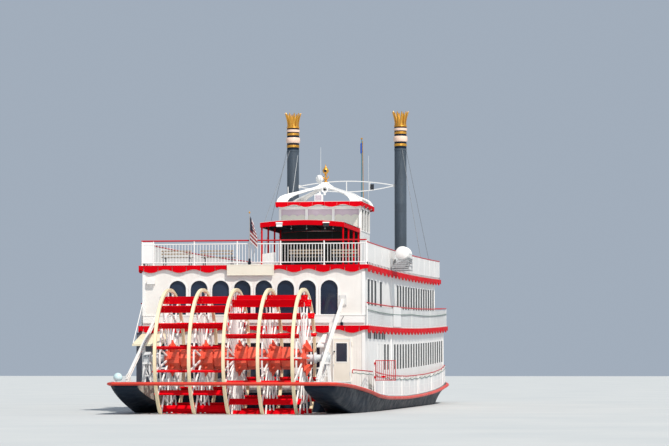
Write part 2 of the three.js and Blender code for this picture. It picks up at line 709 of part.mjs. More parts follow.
function pilotPanes(from, to, number, sill) {
  const width = (to - from - PILOT.mullion) / number;
  return Array.from({ length: number }, (_, i) => (
    opening(from + PILOT.mullion + i * width, from + (i + 1) * width, always(sill), always(PILOT.head))
  ));
}
const acrossOutline = opening(-PILOT.half, PILOT.half, always(pilotHeights[0]), always(pilotHeights[1]));
const alongOutline = opening(...pilotSpan, always(pilotHeights[0]), always(pilotHeights[1]));
const acrossPanes = pilotPanes(-PILOT.half, PILOT.half, 3, PILOT.sill);
const alongPanes = pilotPanes(...pilotSpan, 3, PILOT.sill);
const pilotWalls = [
  prism('y', acrossOutline, [pilotSpan[0], pilotSpan[0] + PILOT.wall], acrossPanes),
  prism('y', acrossOutline, [pilotSpan[1] - PILOT.wall, pilotSpan[1]], acrossPanes),
  prism('x', alongOutline, [-PILOT.half, -PILOT.half + PILOT.wall], alongPanes),
  prism('x', alongOutline, [PILOT.half - PILOT.wall, PILOT.half], alongPanes),
];
const pilotFloor = box([-PILOT.half, PILOT.half], pilotSpan, [PILOT.floor - PILOT.slab, PILOT.floor]);
add('pilothouse_walls', standingOn(thirdLine, join(pilotWalls, pilotFloor)), white);

function eaveOutline(from, to) {
  return [...waves(from, to, EAVE.wave, always(EAVE.low)), [to, EAVE.high], [from, EAVE.high]];
}
const eaveAcross = eaveOutline(-EAVE.half, EAVE.half);
const eaveAlong = eaveOutline(EAVE.aft, EAVE.front);
const eaveInset = EAVE.band / 2;
const eave = [
  prism('y', eaveAcross, [EAVE.aft, EAVE.aft + EAVE.band]),
  prism('y', eaveAcross, [EAVE.front - EAVE.band, EAVE.front]),
  prism('x', eaveAlong, [-EAVE.half, -EAVE.half + EAVE.band]),
  prism('x', eaveAlong, [EAVE.half - EAVE.band, EAVE.half]),
  box(
    [-EAVE.half + eaveInset, EAVE.half - eaveInset],
    [EAVE.aft + eaveInset, EAVE.front - eaveInset],
    [EAVE.slab, EAVE.high],
  ),
];

// Columns: half-width across the boat and height of the dome's ogee, from its foot to its apex
const DOME_PROFILE = rowsInMetres([
  [2.16, 10.42], [2.02, 10.73], [1.72, 10.87], [1.37, 10.99], [0.77, 11.2], [0.36, 11.38], [0.11, 11.6],
]);
// Columns: half-width and height of the arch in each side of the dome
const DOME_ARCH = rowsInMetres([[1.5, 10.48], [1.36, 10.73], [1.05, 10.97], [0.66, 11.15], [0.25, 11.27]]);
const DOME = metres({ shell: 0.07, crown: 0.02, y: 20.5, apex: 0.12, apexLow: 11.3, apexHigh: 11.64 });
const domeRatio = (EAVE.front - EAVE.aft) / (2 * EAVE.half);

function domeForm(inset, drop) {
  return loft(DOME_PROFILE.map(([half, z]) => {
    const x = Math.max(half - inset, M / 50);
    const y = x * domeRatio;
    return [[-x, -y], [x, -y], [x, y], [-x, y]].map(([u, v]) => [u, DOME.y + v, z - drop]);
  }));
}

function archOutline(stretch, centre) {
  const right = DOME_ARCH.map(([half, z]) => [centre + half * stretch, z]);
  const left = DOME_ARCH.toReversed().map(([half, z]) => [centre - half * stretch, z]);
  return [...right, ...left];
}
const domeShell = cut(
  domeForm(0, 0),
  domeForm(DOME.shell, DOME.crown),
  prism('y', archOutline(1, 0), [EAVE.aft, EAVE.front]),
  prism('x', archOutline(domeRatio, DOME.y), [-EAVE.half, EAVE.half]),
);
const domeApex = rod([0, DOME.y, DOME.apexLow], [0, DOME.y, DOME.apexHigh], DOME.apex, 12);
add('pilothouse_roof', join(eave, domeShell, domeApex), white);

// Columns: radius and height of the finial's turned profile
const FINIAL = rowsInMetres([
  [0, 11.6406], [0.13, 11.6406], [0.07, 11.72], [0.05, 11.86], [0.15, 12.0], [0.16, 12.08], [0.06, 12.2],
  [0.11, 12.3], [0.05, 12.42], [0, 12.58],
]);
add('finial', turned(FINIAL, 12, [0, DOME.y, 0]), gold);

// Chimneys: plated pipes with raised bands, a hollow top and a crown of gold leaves
const STACK = metres({ x: 3, radius: 0.33, top: 15.2, hollow: 14.7, foot: 0.4, flange: 0.06 });
const stackBase = thirdLine(ALONG.stacks + STACK.foot) + GAP;
// Columns: foot, head and radius of each raised band
const STACK_BANDS = rowsInMetres([
  [14.12, 14.28, 0.35], [14.37, 14.69, 0.39], [14.79, 14.93, 0.35], [14.98, 15.13, 0.37],
]);
const stackProfile = [
  [0, stackBase],
  [STACK.foot, stackBase],
  [STACK.foot, stackBase + STACK.flange],
  [STACK.radius, stackBase + STACK.flange],
  ...STACK_BANDS.flatMap(([low, high, radius]) => [
    [STACK.radius, low],
    [radius, low],
    [radius, high],
    [STACK.radius, high],
  ]),
  [STACK.radius, STACK.top],
  [STACK.radius * 0.86, STACK.top],
  [STACK.radius * 0.86, STACK.hollow],
  [0, STACK.hollow],
];
const STACK_SIDES = 14;
addPair('stack', turned(stackProfile, STACK_SIDES, [STACK.x, ALONG.stacks, 0]), charcoal);

const CROWN = metres({
  low: 15.2006, valley: 15.48, tip: 16.05, foot: 0.34, waist: 0.3,
  valleyOut: 0.33, tipOut: 0.44, thick: 0.025,
});
const CROWN_LEAVES = 10;
const crownRings = Array.from({ length: CROWN_LEAVES * 2 }, (_, i) => {
  const angle = (i / (CROWN_LEAVES * 2)) * 2 * Math.PI;
  const tip = i % 2 === 0;
  const [out, top] = tip ? [CROWN.tipOut, CROWN.tip] : [CROWN.valleyOut, CROWN.valley];
  const profile = [
    [CROWN.foot, CROWN.low],
    [CROWN.waist + CROWN.thick, (CROWN.low + CROWN.valley) / 2],
    [out, top],
    [out - CROWN.thick, top],
    [CROWN.waist, (CROWN.low + CROWN.valley) / 2],
    [CROWN.foot - CROWN.thick * 2, CROWN.low],
  ];
  return profile.map(([r, z]) => [STACK.x + r * Math.cos(angle), ALONG.stacks + r * Math.sin(angle), z]);
});
addPair('crown', loft(crownRings, true), gold);

// Spreader: a lens-shaped truss between the chimneys, which narrows to a point at each end
const SPREADER = metres({ ends: 11.97, rise: 0.22, drop: 0.27, chord: 0.06, half: 0.05, endDepth: 0.05 });
// Columns: from and to of each cell between two uprights
const SPREADER_CELLS = rowsInMetres([
  [-2.3, -1.95], [-1.89, -0.67], [-0.61, 0.61], [0.67, 1.89], [1.95, 2.3],
]);
const LENS_STEPS = 20;
const CELL_STEPS = 3;
const spreaderEnd = STACK.x - STACK.radius * Math.cos(Math.PI / STACK_SIDES) - GAP;
const lensBulge = (x) => 1 - (x / spreaderEnd) ** 2;
const lensTop = (x) => SPREADER.ends + SPREADER.endDepth + SPREADER.rise * lensBulge(x);
const lensBottom = (x) => SPREADER.ends - SPREADER.endDepth - SPREADER.drop * lensBulge(x);

function evenly(from, to, count) {
  return Array.from({ length: count + 1 }, (_, i) => from + ((to - from) * i) / count);
}

function lensBetween(xs, inset) {
  return [
    ...xs.map((x) => [x, lensBottom(x) + inset]),
    ...xs.toReversed().map((x) => [x, lensTop(x) - inset]),
  ];
}
const lens = lensBetween(evenly(-spreaderEnd, spreaderEnd, LENS_STEPS), 0);
const cells = SPREADER_CELLS.map(([from, to]) => lensBetween(evenly(from, to, CELL_STEPS), SPREADER.chord));
const spreaderSpan = [ALONG.stacks - SPREADER.half, ALONG.stacks + SPREADER.half];
add('stack_spreader', prism('y', lens, spreaderSpan, cells), white);

// Main stays: from a collar under each chimney's bands down to the bulwark, aft and forward
const STAY = metres({ collar: 13.9, collarHigh: 13.98, radius: 0.02, foot: 0.12, outer: 0.4 });
const stayCollar = turned([
  [STACK.radius + GAP, STAY.collar],
  [STAY.outer, STAY.collar],
  [STAY.outer, STAY.collarHigh],
  [STACK.radius + GAP, STAY.collarHigh],
  [STACK.radius + GAP, STAY.collar],
], STACK_SIDES, [STACK.x, ALONG.stacks, 0]);
const STAY_FEET = metres({ x: 4.85, aft: 23.2, side: 27.2 });
const stayWires = [STAY_FEET.aft, STAY_FEET.side].map((y) => {
  const lean = [STAY_FEET.x - STACK.x, y - ALONG.stacks];
  const reach = (STAY.outer + STACK.radius) / 2 / Math.hypot(...lean);
  const headZ = (STAY.collar + STAY.collarHigh) / 2;
  const head = [STACK.x + lean[0] * reach, ALONG.stacks + lean[1] * reach, headZ];
  return rod(head, [STAY_FEET.x, y, thirdLine(y)], STAY.radius, 4);
});
addPair('stays', standingOn(thirdLine, join(stayCollar, stayWires)), charcoal);

// Flag staffs and flags: the jackstaff on the bow deck, the ensign staff on the stern rail
const JACK = metres({ radius: 0.06, tip: 0.03, top: 15.2, foot: 0.14, flangeHigh: 0.06 });
const jackBase = mainLine(ALONG.jackstaff + JACK.foot) + GAP;
add('jackstaff', join(
  rod([0, ALONG.jackstaff, jackBase], [0, ALONG.jackstaff, JACK.top], JACK.radius, 10, JACK.tip),
  rod([0, ALONG.jackstaff, jackBase], [0, ALONG.jackstaff, jackBase + JACK.flangeHigh], JACK.foot, 12),
), white);
const JACK_FLAG = metres({ length: 0.46, low: 14.2, high: 14.9, thick: 0.02, clear: 0.0328 });
add('jack_flag', box(
  [-JACK_FLAG.thick / 2, JACK_FLAG.thick / 2],
  [ALONG.jackstaff - JACK_FLAG.clear - JACK_FLAG.length, ALONG.jackstaff - JACK_FLAG.clear],
  [JACK_FLAG.low, JACK_FLAG.high],
), blueCloth);

const ENSIGN_STAFF = metres({ x: -0.15, y: -0.076, radius: 0.024, low: 6.4606, top: 8.75 });
const staffTruck = rod(
  [ENSIGN_STAFF.x, ENSIGN_STAFF.y, ENSIGN_STAFF.top],
  [ENSIGN_STAFF.x, ENSIGN_STAFF.y, ENSIGN_STAFF.top + 0.08 * M],
  ENSIGN_STAFF.radius * 1.8,
  8,
);
const staffPole = rod(
  [ENSIGN_STAFF.x, ENSIGN_STAFF.y, ENSIGN_STAFF.low],
  [ENSIGN_STAFF.x, ENSIGN_STAFF.y, ENSIGN_STAFF.top],
  ENSIGN_STAFF.radius,
  8,
);
add('ensign_staff', join(staffPole, staffTruck), white);
const ENSIGN = metres({ width: 0.33, thick: 0.08, low: 7.15, high: 8.62, clear: 0.0246 });
add('ensign', box(
  [ENSIGN_STAFF.x + ENSIGN.clear, ENSIGN_STAFF.x + ENSIGN.clear + ENSIGN.width],
  [ENSIGN_STAFF.y - ENSIGN.thick / 2, ENSIGN_STAFF.y + ENSIGN.thick / 2],
  [ENSIGN.low, ENSIGN.high],
), red);

// Name board: a blank board on the stern valance of the third deck
const BOARD = metres({ x: -0.1, half: 1.05, low: 6.0, high: 6.48, thick: 0.05 });
const boardFront = DECK_AFT - 2 * GAP - THICK.valance;
add('name_board', box(
  [BOARD.x - BOARD.half, BOARD.x + BOARD.half],
  [boardFront - BOARD.thick, boardFront],
  [BOARD.low, BOARD.high],
), white);

// Life rafts: a canister lying along the boat in a slatted cradle, outboard of each top bulwark
const RAFT = metres({ y: 8.45, x: 5.62, z: 7.3, radius: 0.33, half: 0.72, neck: 0.24 });
const CRADLE = metres({
  low: 6.5, slat: 0.05, slatPitch: 0.19, out: 5.96, half: 0.7, inner: 0.08, foot: 6.62,
});
const CRADLE_SLATS = 3;
const cradleTop = RAFT.z - RAFT.radius * 0.7;
const raftProfile = [
  [0, -RAFT.half], [RAFT.neck, -RAFT.half], [RAFT.radius, -RAFT.half * 0.82],
  [RAFT.radius, RAFT.half * 0.82], [RAFT.neck, RAFT.half], [0, RAFT.half],
];
const canister = turned(raftProfile, 12).rotateX(Math.PI / 2).translate(RAFT.x, RAFT.y, RAFT.z);
const cradleInner = HALF.rail + THICK.panel / 2 + GAP;
const cradleSlats = Array.from({ length: CRADLE_SLATS }, (_, i) => {
  const z = CRADLE.low + i * CRADLE.slatPitch;
  const along = [RAFT.y - CRADLE.half, RAFT.y + CRADLE.half];
  return box([CRADLE.out - CRADLE.slat, CRADLE.out], along, [z, z + CRADLE.slat * 1.4]);
});
const cradleArms = [-1, 1].flatMap((end) => {
  const y = RAFT.y + end * (CRADLE.half - CRADLE.slat * 2);
  const along = [y - CRADLE.slat, y + CRADLE.slat];
  return [
    box([cradleInner + CRADLE.inner, CRADLE.out], along, [CRADLE.low, cradleTop]),
    box([cradleInner, cradleInner + CRADLE.inner * 1.25], along, [CRADLE.foot, cradleTop]),
  ];
});
addPair('raft', join(canister, cradleSlats, cradleArms), grey);

// Struts: box beams from the stern beam's ends up to the aft wall, with a gusset at the foot
const STRUT = metres({
  x: 4, half: 0.1, footY: -7.05, footZ: 1.42, headZ: 4.92,
  gussetHigh: 0.42, gussetLong: 0.75, gussetFoot: 0.2,
});
const strutRise = (STRUT.headZ - STRUT.footZ) / -STRUT.footY;
const strutThick = STRUT.half * Math.hypot(1, strutRise);
const strutSide = [
  [STRUT.footY, STRUT.footZ - strutThick],
  [-GAP, STRUT.headZ - strutThick],
  [-GAP, STRUT.headZ + strutThick],
  [STRUT.footY, STRUT.footZ + strutThick],
];
const gussetSide = [
  [STRUT.footY, STRUT.footZ - STRUT.gussetFoot],
  [STRUT.footY + STRUT.gussetLong, STRUT.footZ - STRUT.gussetFoot],
  [STRUT.footY + STRUT.gussetLong * 0.6, STRUT.footZ + STRUT.gussetHigh * 0.8],
  [STRUT.footY, STRUT.footZ + STRUT.gussetHigh * 0.5],
];
const strutSpan = [STRUT.x - STRUT.half, STRUT.x + STRUT.half];
const gussetSpan = [STRUT.x - STRUT.half / 3, STRUT.x + STRUT.half / 3];
const strutPieces = [prism('x', strutSide, strutSpan), prism('x', gussetSide, gussetSpan)];
addPair('strut', standingOn(mainLine, join(strutPieces)), white);

// Shades: sloped plates beside the wheel, a broad one to port and a narrow one to starboard
const SHADE = metres({ aft: -1.9, thick: 0.04 });
const SHADES = {
  shade_port: metres({ from: -5, to: -3.7, high: 3.46, low: 2.97 }),
  shade_starboard: metres({ from: 3.14, to: 3.52, high: 3.43, low: 2.9 }),
};
Object.entries(SHADES).forEach(([name, { from, to, high, low }]) => {
  const outline = [
    [-GAP, high],
    [SHADE.aft, low],
    [SHADE.aft, low - SHADE.thick],
    [-GAP, high - SHADE.thick],
  ];
  add(name, prism('x', outline, [from, to]), cream);
});

// Paddle wheel: made about its own axis along x, then placed
const WHEEL = metres({
  y: -3.8, z: 2.35, rim: 2.97, rimDepth: 0.15, rimHalf: 0.065,
  brace: 1.94, braceIn: 1.87, braceHalf: 0.04,
});
const SPOKE = metres({ half: 0.035, deep: 0.03, hub: 0.5, reach: 2.85 });
const HUB = metres({
  drum: 0.4, ring: 0.6, half: 0.06, journal: 0.15, bore: 0.152, end: 4.05, drumEnd: 3.06,
});
const PADDLE = metres({ from: 2.36, to: 2.67, thick: 0.05, end: 3.08 });
const STAR = metres({ point: 0.75, valley: 0.55, half: 0.02 });
const FRAME_PLACES = [-2.9, -1.45, 0, 1.45, 2.9].map((x) => x * M);
const SPOKES = 16;
const RIM_SIDES = 32;
const BRACE_SIDES = 16;
const STAR_POINTS = 8;
const HALF_PITCH = Math.PI / SPOKES;

const wheel = new THREE.Group();
wheel.position.set(0, WHEEL.y, WHEEL.z);
boat.add(wheel);

function circle(radius, sides, phase = 0) {
  return Array.from({ length: sides }, (_, i) => {
    const angle = phase + (i / sides) * 2 * Math.PI;
    return [radius * Math.cos(angle), radius * Math.sin(angle)];
  });
}

function hoop(outer, inner, sides, span) {
  return prism('x', circle(outer, sides), span, [circle(inner, sides)]);
}

function around(phase, makePiece) {
  return Array.from({ length: SPOKES }, (_, i) => makePiece().rotateX(phase + (i * 2 * Math.PI) / SPOKES));
}

function spokes(place, phase, half, from) {
  const span = [place - SPOKE.deep, place + SPOKE.deep];
  return around(phase, () => box(span, [from, SPOKE.reach], [-half, half]));
}

function paddles(from, to, phase) {
  const near = SPOKE.half + GAP;
  return around(phase, () => box([from, to], [PADDLE.from, PADDLE.to], [near, near + PADDLE.thick]));
}

function wheelFrame(place, phase, spokeHalf) {
  const rimSpan = [place - WHEEL.rimHalf, place + WHEEL.rimHalf];
  const braceSpan = [place - WHEEL.braceHalf, place + WHEEL.braceHalf];
  return [
    hoop(WHEEL.rim, WHEEL.rim - WHEEL.rimDepth, RIM_SIDES, rimSpan),
    hoop(WHEEL.brace, WHEEL.braceIn, BRACE_SIDES, braceSpan),
    hoop(HUB.ring, HUB.drum + GAP, STAR_POINTS, [place - HUB.half, place + HUB.half]),
    ...spokes(place, phase, spokeHalf, SPOKE.hub),
  ];
}

function addToWheel(name, geometry, material) {
  const mesh = new THREE.Mesh(geometry, material);
  mesh.name = name;
  wheel.add(mesh);
}

const wide = SPOKE.half + 2 * GAP;
const middleStubs = spokes(FRAME_PLACES[2], HALF_PITCH, SPOKE.half, WHEEL.braceIn);
const framePieces = [
  wheelFrame(FRAME_PLACES[0], HALF_PITCH, SPOKE.half),
  [...wheelFrame(FRAME_PLACES[1], HALF_PITCH, wide), ...paddles(-PADDLE.end, -GAP, HALF_PITCH)],
  [...wheelFrame(FRAME_PLACES[2], 0, SPOKE.half), ...middleStubs],
  [...wheelFrame(FRAME_PLACES[3], 0, wide), ...paddles(GAP, PADDLE.end, 0)],
  wheelFrame(FRAME_PLACES[4], 0, SPOKE.half),
];
framePieces.forEach((pieces, i) => addToWheel(`wheel_frame_${i + 1}`, join(pieces), cream));

const starOutline = Array.from({ length: STAR_POINTS * 2 }, (_, i) => {
  const radius = i % 2 ? STAR.valley : STAR.point;
  const angle = (i / (STAR_POINTS * 2)) * 2 * Math.PI;
  return [radius * Math.cos(angle), radius * Math.sin(angle)];
});
const stars = FRAME_PLACES.map((place) => {
  const inner = place + (place < 0 ? 1 : -1) * (HUB.half + GAP + STAR.half);
  return prism('x', starOutline, [inner - STAR.half, inner + STAR.half]);
});
const drum = prism('x', circle(HUB.drum, STAR_POINTS), [-HUB.drumEnd, HUB.drumEnd]);
const journal = prism('x', circle(HUB.journal, 24), [-HUB.end, HUB.end]);
addToWheel('wheel_shaft', join(drum, journal, stars), orange);

// Bearings: an A-shaped pedestal on each quarter with a bored block for the shaft
const BEARING = metres({ x: 3.84, baseHalf: 0.25, topHalf: 0.14, top: 2.62, half: 0.34 });
const pedestal = prism('y', [
  [BEARING.x - BEARING.baseHalf, M],
  [BEARING.x + BEARING.baseHalf, M],
  [BEARING.x + BEARING.topHalf, BEARING.top],
  [BEARING.x - BEARING.topHalf, BEARING.top],
], [WHEEL.y - BEARING.half, WHEEL.y + BEARING.half]);
const bore = prism('x', circle(HUB.bore, 24), [3 * M, 5 * M]).translate(0, WHEEL.y, WHEEL.z);
addPair('wheel_bearing', standingOn(mainLine, cut(pedestal, bore)), cream);

// Rudders: a plate on a round stock under each pad of the hull
const BLADE = metres({ aft: -0.2, front: 1.75, half: 0.035 });
const rudderBlade = box(
  [RUDDER.x - BLADE.half, RUDDER.x + BLADE.half],
  [BLADE.aft, BLADE.front],
  [RUDDER.foot, RUDDER.top],
);
const stockHead = RUDDER.padFoot - GAP;
const rudderStock = rod([RUDDER.x, RUDDER.y, RUDDER.foot], [RUDDER.x, RUDDER.y, stockHead], RUDDER.stock, 10);
addPair('rudder', join(rudderBlade, rudderStock), black);

export default model;
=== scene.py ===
"""Looks of a stern-wheel excursion boat, a model at 1:2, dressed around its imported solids.

Shapes are written in metres of the real boat: x to starboard, y forward of the stern wall, z above the water.
"""

import json
from math import copysign, cos, hypot, pi, radians, sin

import bmesh
import bpy
import numpy as np
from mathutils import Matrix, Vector


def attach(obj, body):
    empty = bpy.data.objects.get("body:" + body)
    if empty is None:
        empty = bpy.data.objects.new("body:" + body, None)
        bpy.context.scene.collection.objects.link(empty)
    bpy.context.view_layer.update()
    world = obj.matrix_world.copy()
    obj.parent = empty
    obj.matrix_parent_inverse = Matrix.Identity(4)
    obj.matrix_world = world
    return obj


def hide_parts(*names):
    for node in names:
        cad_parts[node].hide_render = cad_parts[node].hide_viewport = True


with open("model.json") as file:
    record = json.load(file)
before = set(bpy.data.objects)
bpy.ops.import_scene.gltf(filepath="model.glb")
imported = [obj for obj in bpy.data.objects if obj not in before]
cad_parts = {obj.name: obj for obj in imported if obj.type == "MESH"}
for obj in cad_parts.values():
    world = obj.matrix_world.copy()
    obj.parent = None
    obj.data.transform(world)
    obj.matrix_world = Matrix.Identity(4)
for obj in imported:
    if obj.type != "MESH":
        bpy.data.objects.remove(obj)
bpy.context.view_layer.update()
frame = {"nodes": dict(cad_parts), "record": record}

SCALE = 0.5
AMIDSHIPS = 15.7
SIDES = {"starboard": 1, "port": -1}

# Columns: place along the boat, height of the guard rail, height of the main deck
SHEER = [
    (-7.2, 1.28, 1.35), (-5.4, 1.22, 1.3), (-3.6, 1.13, 1.22), (-1.8, 1.0, 1.09), (-0.4, 0.88, 0.98),
    (2, 0.69, 0.79), (5, 0.58, 0.68), (8, 0.54, 0.64), (12, 0.51, 0.61), (16, 0.54, 0.64), (20, 0.6, 0.7),
    (24, 0.7, 0.8), (28, 0.86, 0.96), (31.6, 1.05, 1.15), (34.6, 1.24, 1.34), (36.6, 1.4, 1.5),
    (38, 1.53, 1.63), (38.6, 1.58, 1.68),
]
STATIONS = [row[0] for row in SHEER]


def place(x, y, z):
    return (x * SCALE, (y - AMIDSHIPS) * SCALE, z * SCALE)


def straight(rows, column):
    """A value along the boat, straight between the rows of a table."""
    places, values = [row[0] for row in rows], [row[column] for row in rows]
    return lambda y: float(np.interp(y, places, values))


def rounded(rows, column):
    """A value along the boat, on a smooth curve through the rows of a table."""
    xs, vs = [row[0] for row in rows], [row[column] for row in rows]
    last = len(xs) - 1
    slopes = []
    for i in range(len(xs)):
        a, b = max(0, i - 1), min(last, i + 1)
        slopes.append((vs[b] - vs[a]) / (xs[b] - xs[a]))

    def value(y):
        y = min(max(y, xs[0]), xs[-1])
        i = min(last - 1, max(0, int(np.searchsorted(xs, y)) - 1))
        span = xs[i + 1] - xs[i]
        t = (y - xs[i]) / span
        leaving, arriving = slopes[i] * span, slopes[i + 1] * span
        return (
            (2 * t**3 - 3 * t**2 + 1) * vs[i] + (t**3 - 2 * t**2 + t) * leaving
            + (3 * t**2 - 2 * t**3) * vs[i + 1] + (t**3 - t**2) * arriving
        )

    return value


def deck_line(aft, rise):
    """The height of an upper deck along the boat: level at the stern, and rising toward the bow."""
    return straight([(y, aft + rise * (max(y, 0) / 30) ** 2) for y in STATIONS], 1)


guard_line, main_line = rounded(SHEER, 1), rounded(SHEER, 2)
second_line, third_line = deck_line(3.79, 0.43), deck_line(6.46, 0.36)


def steps(start, end, count):
    """Evenly spaced values from start to end, both included."""
    return [start + (end - start) * i / count for i in range(count + 1)]


def turns(count, phase=0.0):
    """Evenly spaced angles once round."""
    return [phase + 2 * pi * i / count for i in range(count)]


# Materials: each is a small tree of nodes on a Principled shader, in the boat's own coordinates
class Finish:
    """A procedural material under construction."""

    def __init__(self, name):
        self.material = bpy.data.materials.new(name)
        self.material.use_nodes = True
        self.tree = self.material.node_tree
        self.shader = self.tree.nodes["Principled BSDF"]
        self.place = self.node("ShaderNodeTexCoord").outputs["Object"]

    def node(self, kind, **settings):
        node = self.tree.nodes.new(kind)
        for key, value in settings.items():
            setattr(node, key, value)
        return node

    def link(self, source, target):
        self.tree.links.new(source, target)

    def fill(self, slots, values):
        """Sets each slot to a number or a colour, or links it to an output."""
        for slot, value in zip(slots, values):
            if isinstance(value, (int, float)):
                slot.default_value = value
            elif isinstance(value, tuple):
                slot.default_value = (*value, 1)
            else:
                self.link(value, slot)

    def noise(self, scale, detail=4.0, stretch=(1, 1, 1)):
        mapping = self.node("ShaderNodeMapping")
        mapping.inputs["Scale"].default_value = stretch
        self.link(self.place, mapping.inputs["Vector"])
        node = self.node("ShaderNodeTexNoise")
        self.fill([node.inputs[name] for name in ("Scale", "Detail", "Roughness")], (scale, detail, 0.55))
        self.link(mapping.outputs["Vector"], node.inputs["Vector"])
        return node.outputs["Fac"]

    def ranged(self, value, low, high, to_low=0.0, to_high=1.0):
        node = self.node("ShaderNodeMapRange")
        slots = [node.inputs[name] for name in ("Value", "From Min", "From Max", "To Min", "To Max")]
        self.fill(slots, (value, low, high, to_low, to_high))
        return node.outputs["Result"]

    def math(self, operation, first, second):
        node = self.node("ShaderNodeMath", operation=operation)
        self.fill(node.inputs, (first, second))
        return node.outputs[0]

    def mixed(self, share, first, second):
        node = self.node("ShaderNodeMix", data_type="RGBA")
        self.fill((node.inputs["Factor"], node.inputs[6], node.inputs[7]), (share, first, second))
        return node.outputs[2]

    def grooves(self, axis, pitch, width):
        """1 in a narrow groove at every pitch along an axis, and 0 between."""
        split = self.node("ShaderNodeSeparateXYZ")
        self.link(self.place, split.inputs["Vector"])
        share = self.math("FRACT", self.math("MULTIPLY", split.outputs[axis], 1 / pitch), 0)
        return self.math("LESS_THAN", share, width / pitch)

    def colour(self, value):
        self.link(value, self.shader.inputs["Base Color"])

    def roughness(self, value):
        self.link(value, self.shader.inputs["Roughness"])

    def bump(self, height, distance):
        node = self.node("ShaderNodeBump")
        slots = (node.inputs["Distance"], node.inputs["Strength"], node.inputs["Height"])
        self.fill(slots, (distance, 1.0, height))
        self.link(node.outputs["Normal"], self.shader.inputs["Normal"])


def paint(name, colour, worn, rough=0.38, patches=0.35, streaks=0.3, lumps=0.0015, lines=None, metal=0.0):
    """Brushed or sprayed paint: patchy tone, rain streaks, uneven gloss and a slightly wavy surface."""
    finish = Finish(name)
    tone = finish.ranged(finish.noise(1.7, 5), 0.42, 0.72, 0, patches)
    streak = finish.ranged(finish.noise(9, 3, (1, 1, 0.07)), 0.52, 0.78, 0, streaks)
    share = finish.math("MAXIMUM", tone, streak)
    height = finish.noise(26, 3)
    if lines:
        axis, pitch, width, depth = lines
        groove = finish.grooves(axis, pitch, width)
        share = finish.math("MAXIMUM", share, finish.math("MULTIPLY", groove, depth))
        height = finish.math("SUBTRACT", height, groove)
    finish.colour(finish.mixed(share, colour, worn))
    finish.roughness(finish.ranged(finish.noise(5, 4), 0.35, 0.7, rough * 0.8, rough * 1.3))
    finish.shader.inputs["Metallic"].default_value = metal
    finish.bump(height, lumps)
    return finish


def glazing(name, dark, light, sheen=0.5, smooth=0.08):
    """Window glass with a faint uneven sheen."""
    finish = Finish(name)
    finish.colour(finish.mixed(finish.ranged(finish.noise(1.1, 3), 0.35, 0.7), dark, light))
    finish.roughness(finish.ranged(finish.noise(3, 2), 0.3, 0.7, smooth, smooth + 0.12))
    finish.shader.inputs["Specular IOR Level"].default_value = sheen
    finish.bump(finish.noise(2.5, 2), 0.002)
    return finish


# Lines in a paint: axis, pitch, width and depth of tone
ACROSS, ALONG = (0, 0.0575, 0.005, 0.5), (1, 0.0575, 0.005, 0.5)
PLATE_SEAMS, PANEL_SEAMS, STACK_SEAMS = (0, 0.62, 0.003, 0.5), (1, 1.22, 0.006, 0.6), (2, 0.75, 0.006, 0.6)
PLEATS = (0, 0.035, 0.008, 0.35)

WHITE = paint("white_paint", (0.86, 0.85, 0.83), (0.68, 0.66, 0.63), patches=0.2)
PLATE = paint("plated_wall_paint", (0.84, 0.81, 0.77), (0.66, 0.61, 0.56), lines=PLATE_SEAMS)
AFT_SIDING = paint("aft_siding", (0.86, 0.82, 0.77), (0.62, 0.57, 0.51), streaks=0.4, lines=ACROSS)
SIDE_SIDING = paint("side_siding", (0.85, 0.84, 0.82), (0.62, 0.6, 0.57), streaks=0.4, lines=ALONG)
DOOR = paint("door_paint", (0.84, 0.78, 0.69), (0.6, 0.53, 0.44), streaks=0.5)
CREAM = paint("cream_paint", (0.86, 0.75, 0.50), (0.55, 0.42, 0.25), streaks=0.45)
SHADE_CREAM = paint("shade_cream_paint", (0.80, 0.74, 0.54), (0.58, 0.50, 0.32), streaks=0.2)
BOARD_CREAM = paint("board_cream_paint", (0.82, 0.78, 0.66), (0.62, 0.57, 0.45), streaks=0.35)
CREAM_BAND = paint("chimney_band_paint", (0.88, 0.63, 0.50), (0.6, 0.42, 0.33), streaks=0.5)
RED = paint("red_paint", (0.66, 0.002, 0.008), (0.40, 0.002, 0.008), rough=0.4)
PIPE_RED = paint("rail_red_paint", (0.52, 0.02, 0.03), (0.34, 0.02, 0.02), rough=0.35)
BOARD_RED = paint("board_red_paint", (0.70, 0.0, 0.006), (0.30, 0.0, 0.006), streaks=0.6, rough=0.5)
ORANGE = paint("guard_orange_paint", (0.62, 0.06, 0.04), (0.36, 0.04, 0.03), rough=0.35)
HUB = paint("hub_orange_paint", (0.76, 0.10, 0.05), (0.42, 0.03, 0.02), rough=0.45)
BLACK = paint("hull_black_paint", (0.008, 0.016, 0.03), (0.02, 0.03, 0.042), rough=0.5, streaks=0.35)
STACK = paint("chimney_paint", (0.055, 0.075, 0.10), (0.03, 0.04, 0.05), rough=0.5, lines=STACK_SEAMS)
GREY = paint("grey_paint", (0.62, 0.64, 0.65), (0.42, 0.43, 0.44))
STRUT_PAINT = paint("strut_paint", (0.74, 0.73, 0.71), (0.5, 0.48, 0.45), streaks=0.4)
CRADLE_GREY = paint("cradle_grey_paint", (0.36, 0.37, 0.38), (0.24, 0.25, 0.26))
# Steel grey for the ram and the bench legs, and painted shade on the port end of the aft wall
STEEL_AND_SHADE = paint("steel_grey_and_shade_paint", (0.10, 0.11, 0.14), (0.05, 0.05, 0.06), rough=0.45)
# Quarter well lining: spray streaks, and a dark tone that is painted shade in the well and under the shade
# plates
LINING_STAIN_AND_SHADE = paint("well_lining_stain_and_shade_paint", (0.40, 0.37, 0.32), (0.14, 0.12, 0.10),
               patches=0.8, streaks=0.8, rough=0.6)
PANEL = paint("bulwark_paint", (0.78, 0.78, 0.77), (0.6, 0.58, 0.56), lines=PANEL_SEAMS)
DECK = paint("deck_paint", (0.26, 0.28, 0.28), (0.16, 0.17, 0.17), rough=0.7, lumps=0.003)
DARK = paint("dark_paint", (0.012, 0.014, 0.02), (0.03, 0.033, 0.04), rough=0.5)
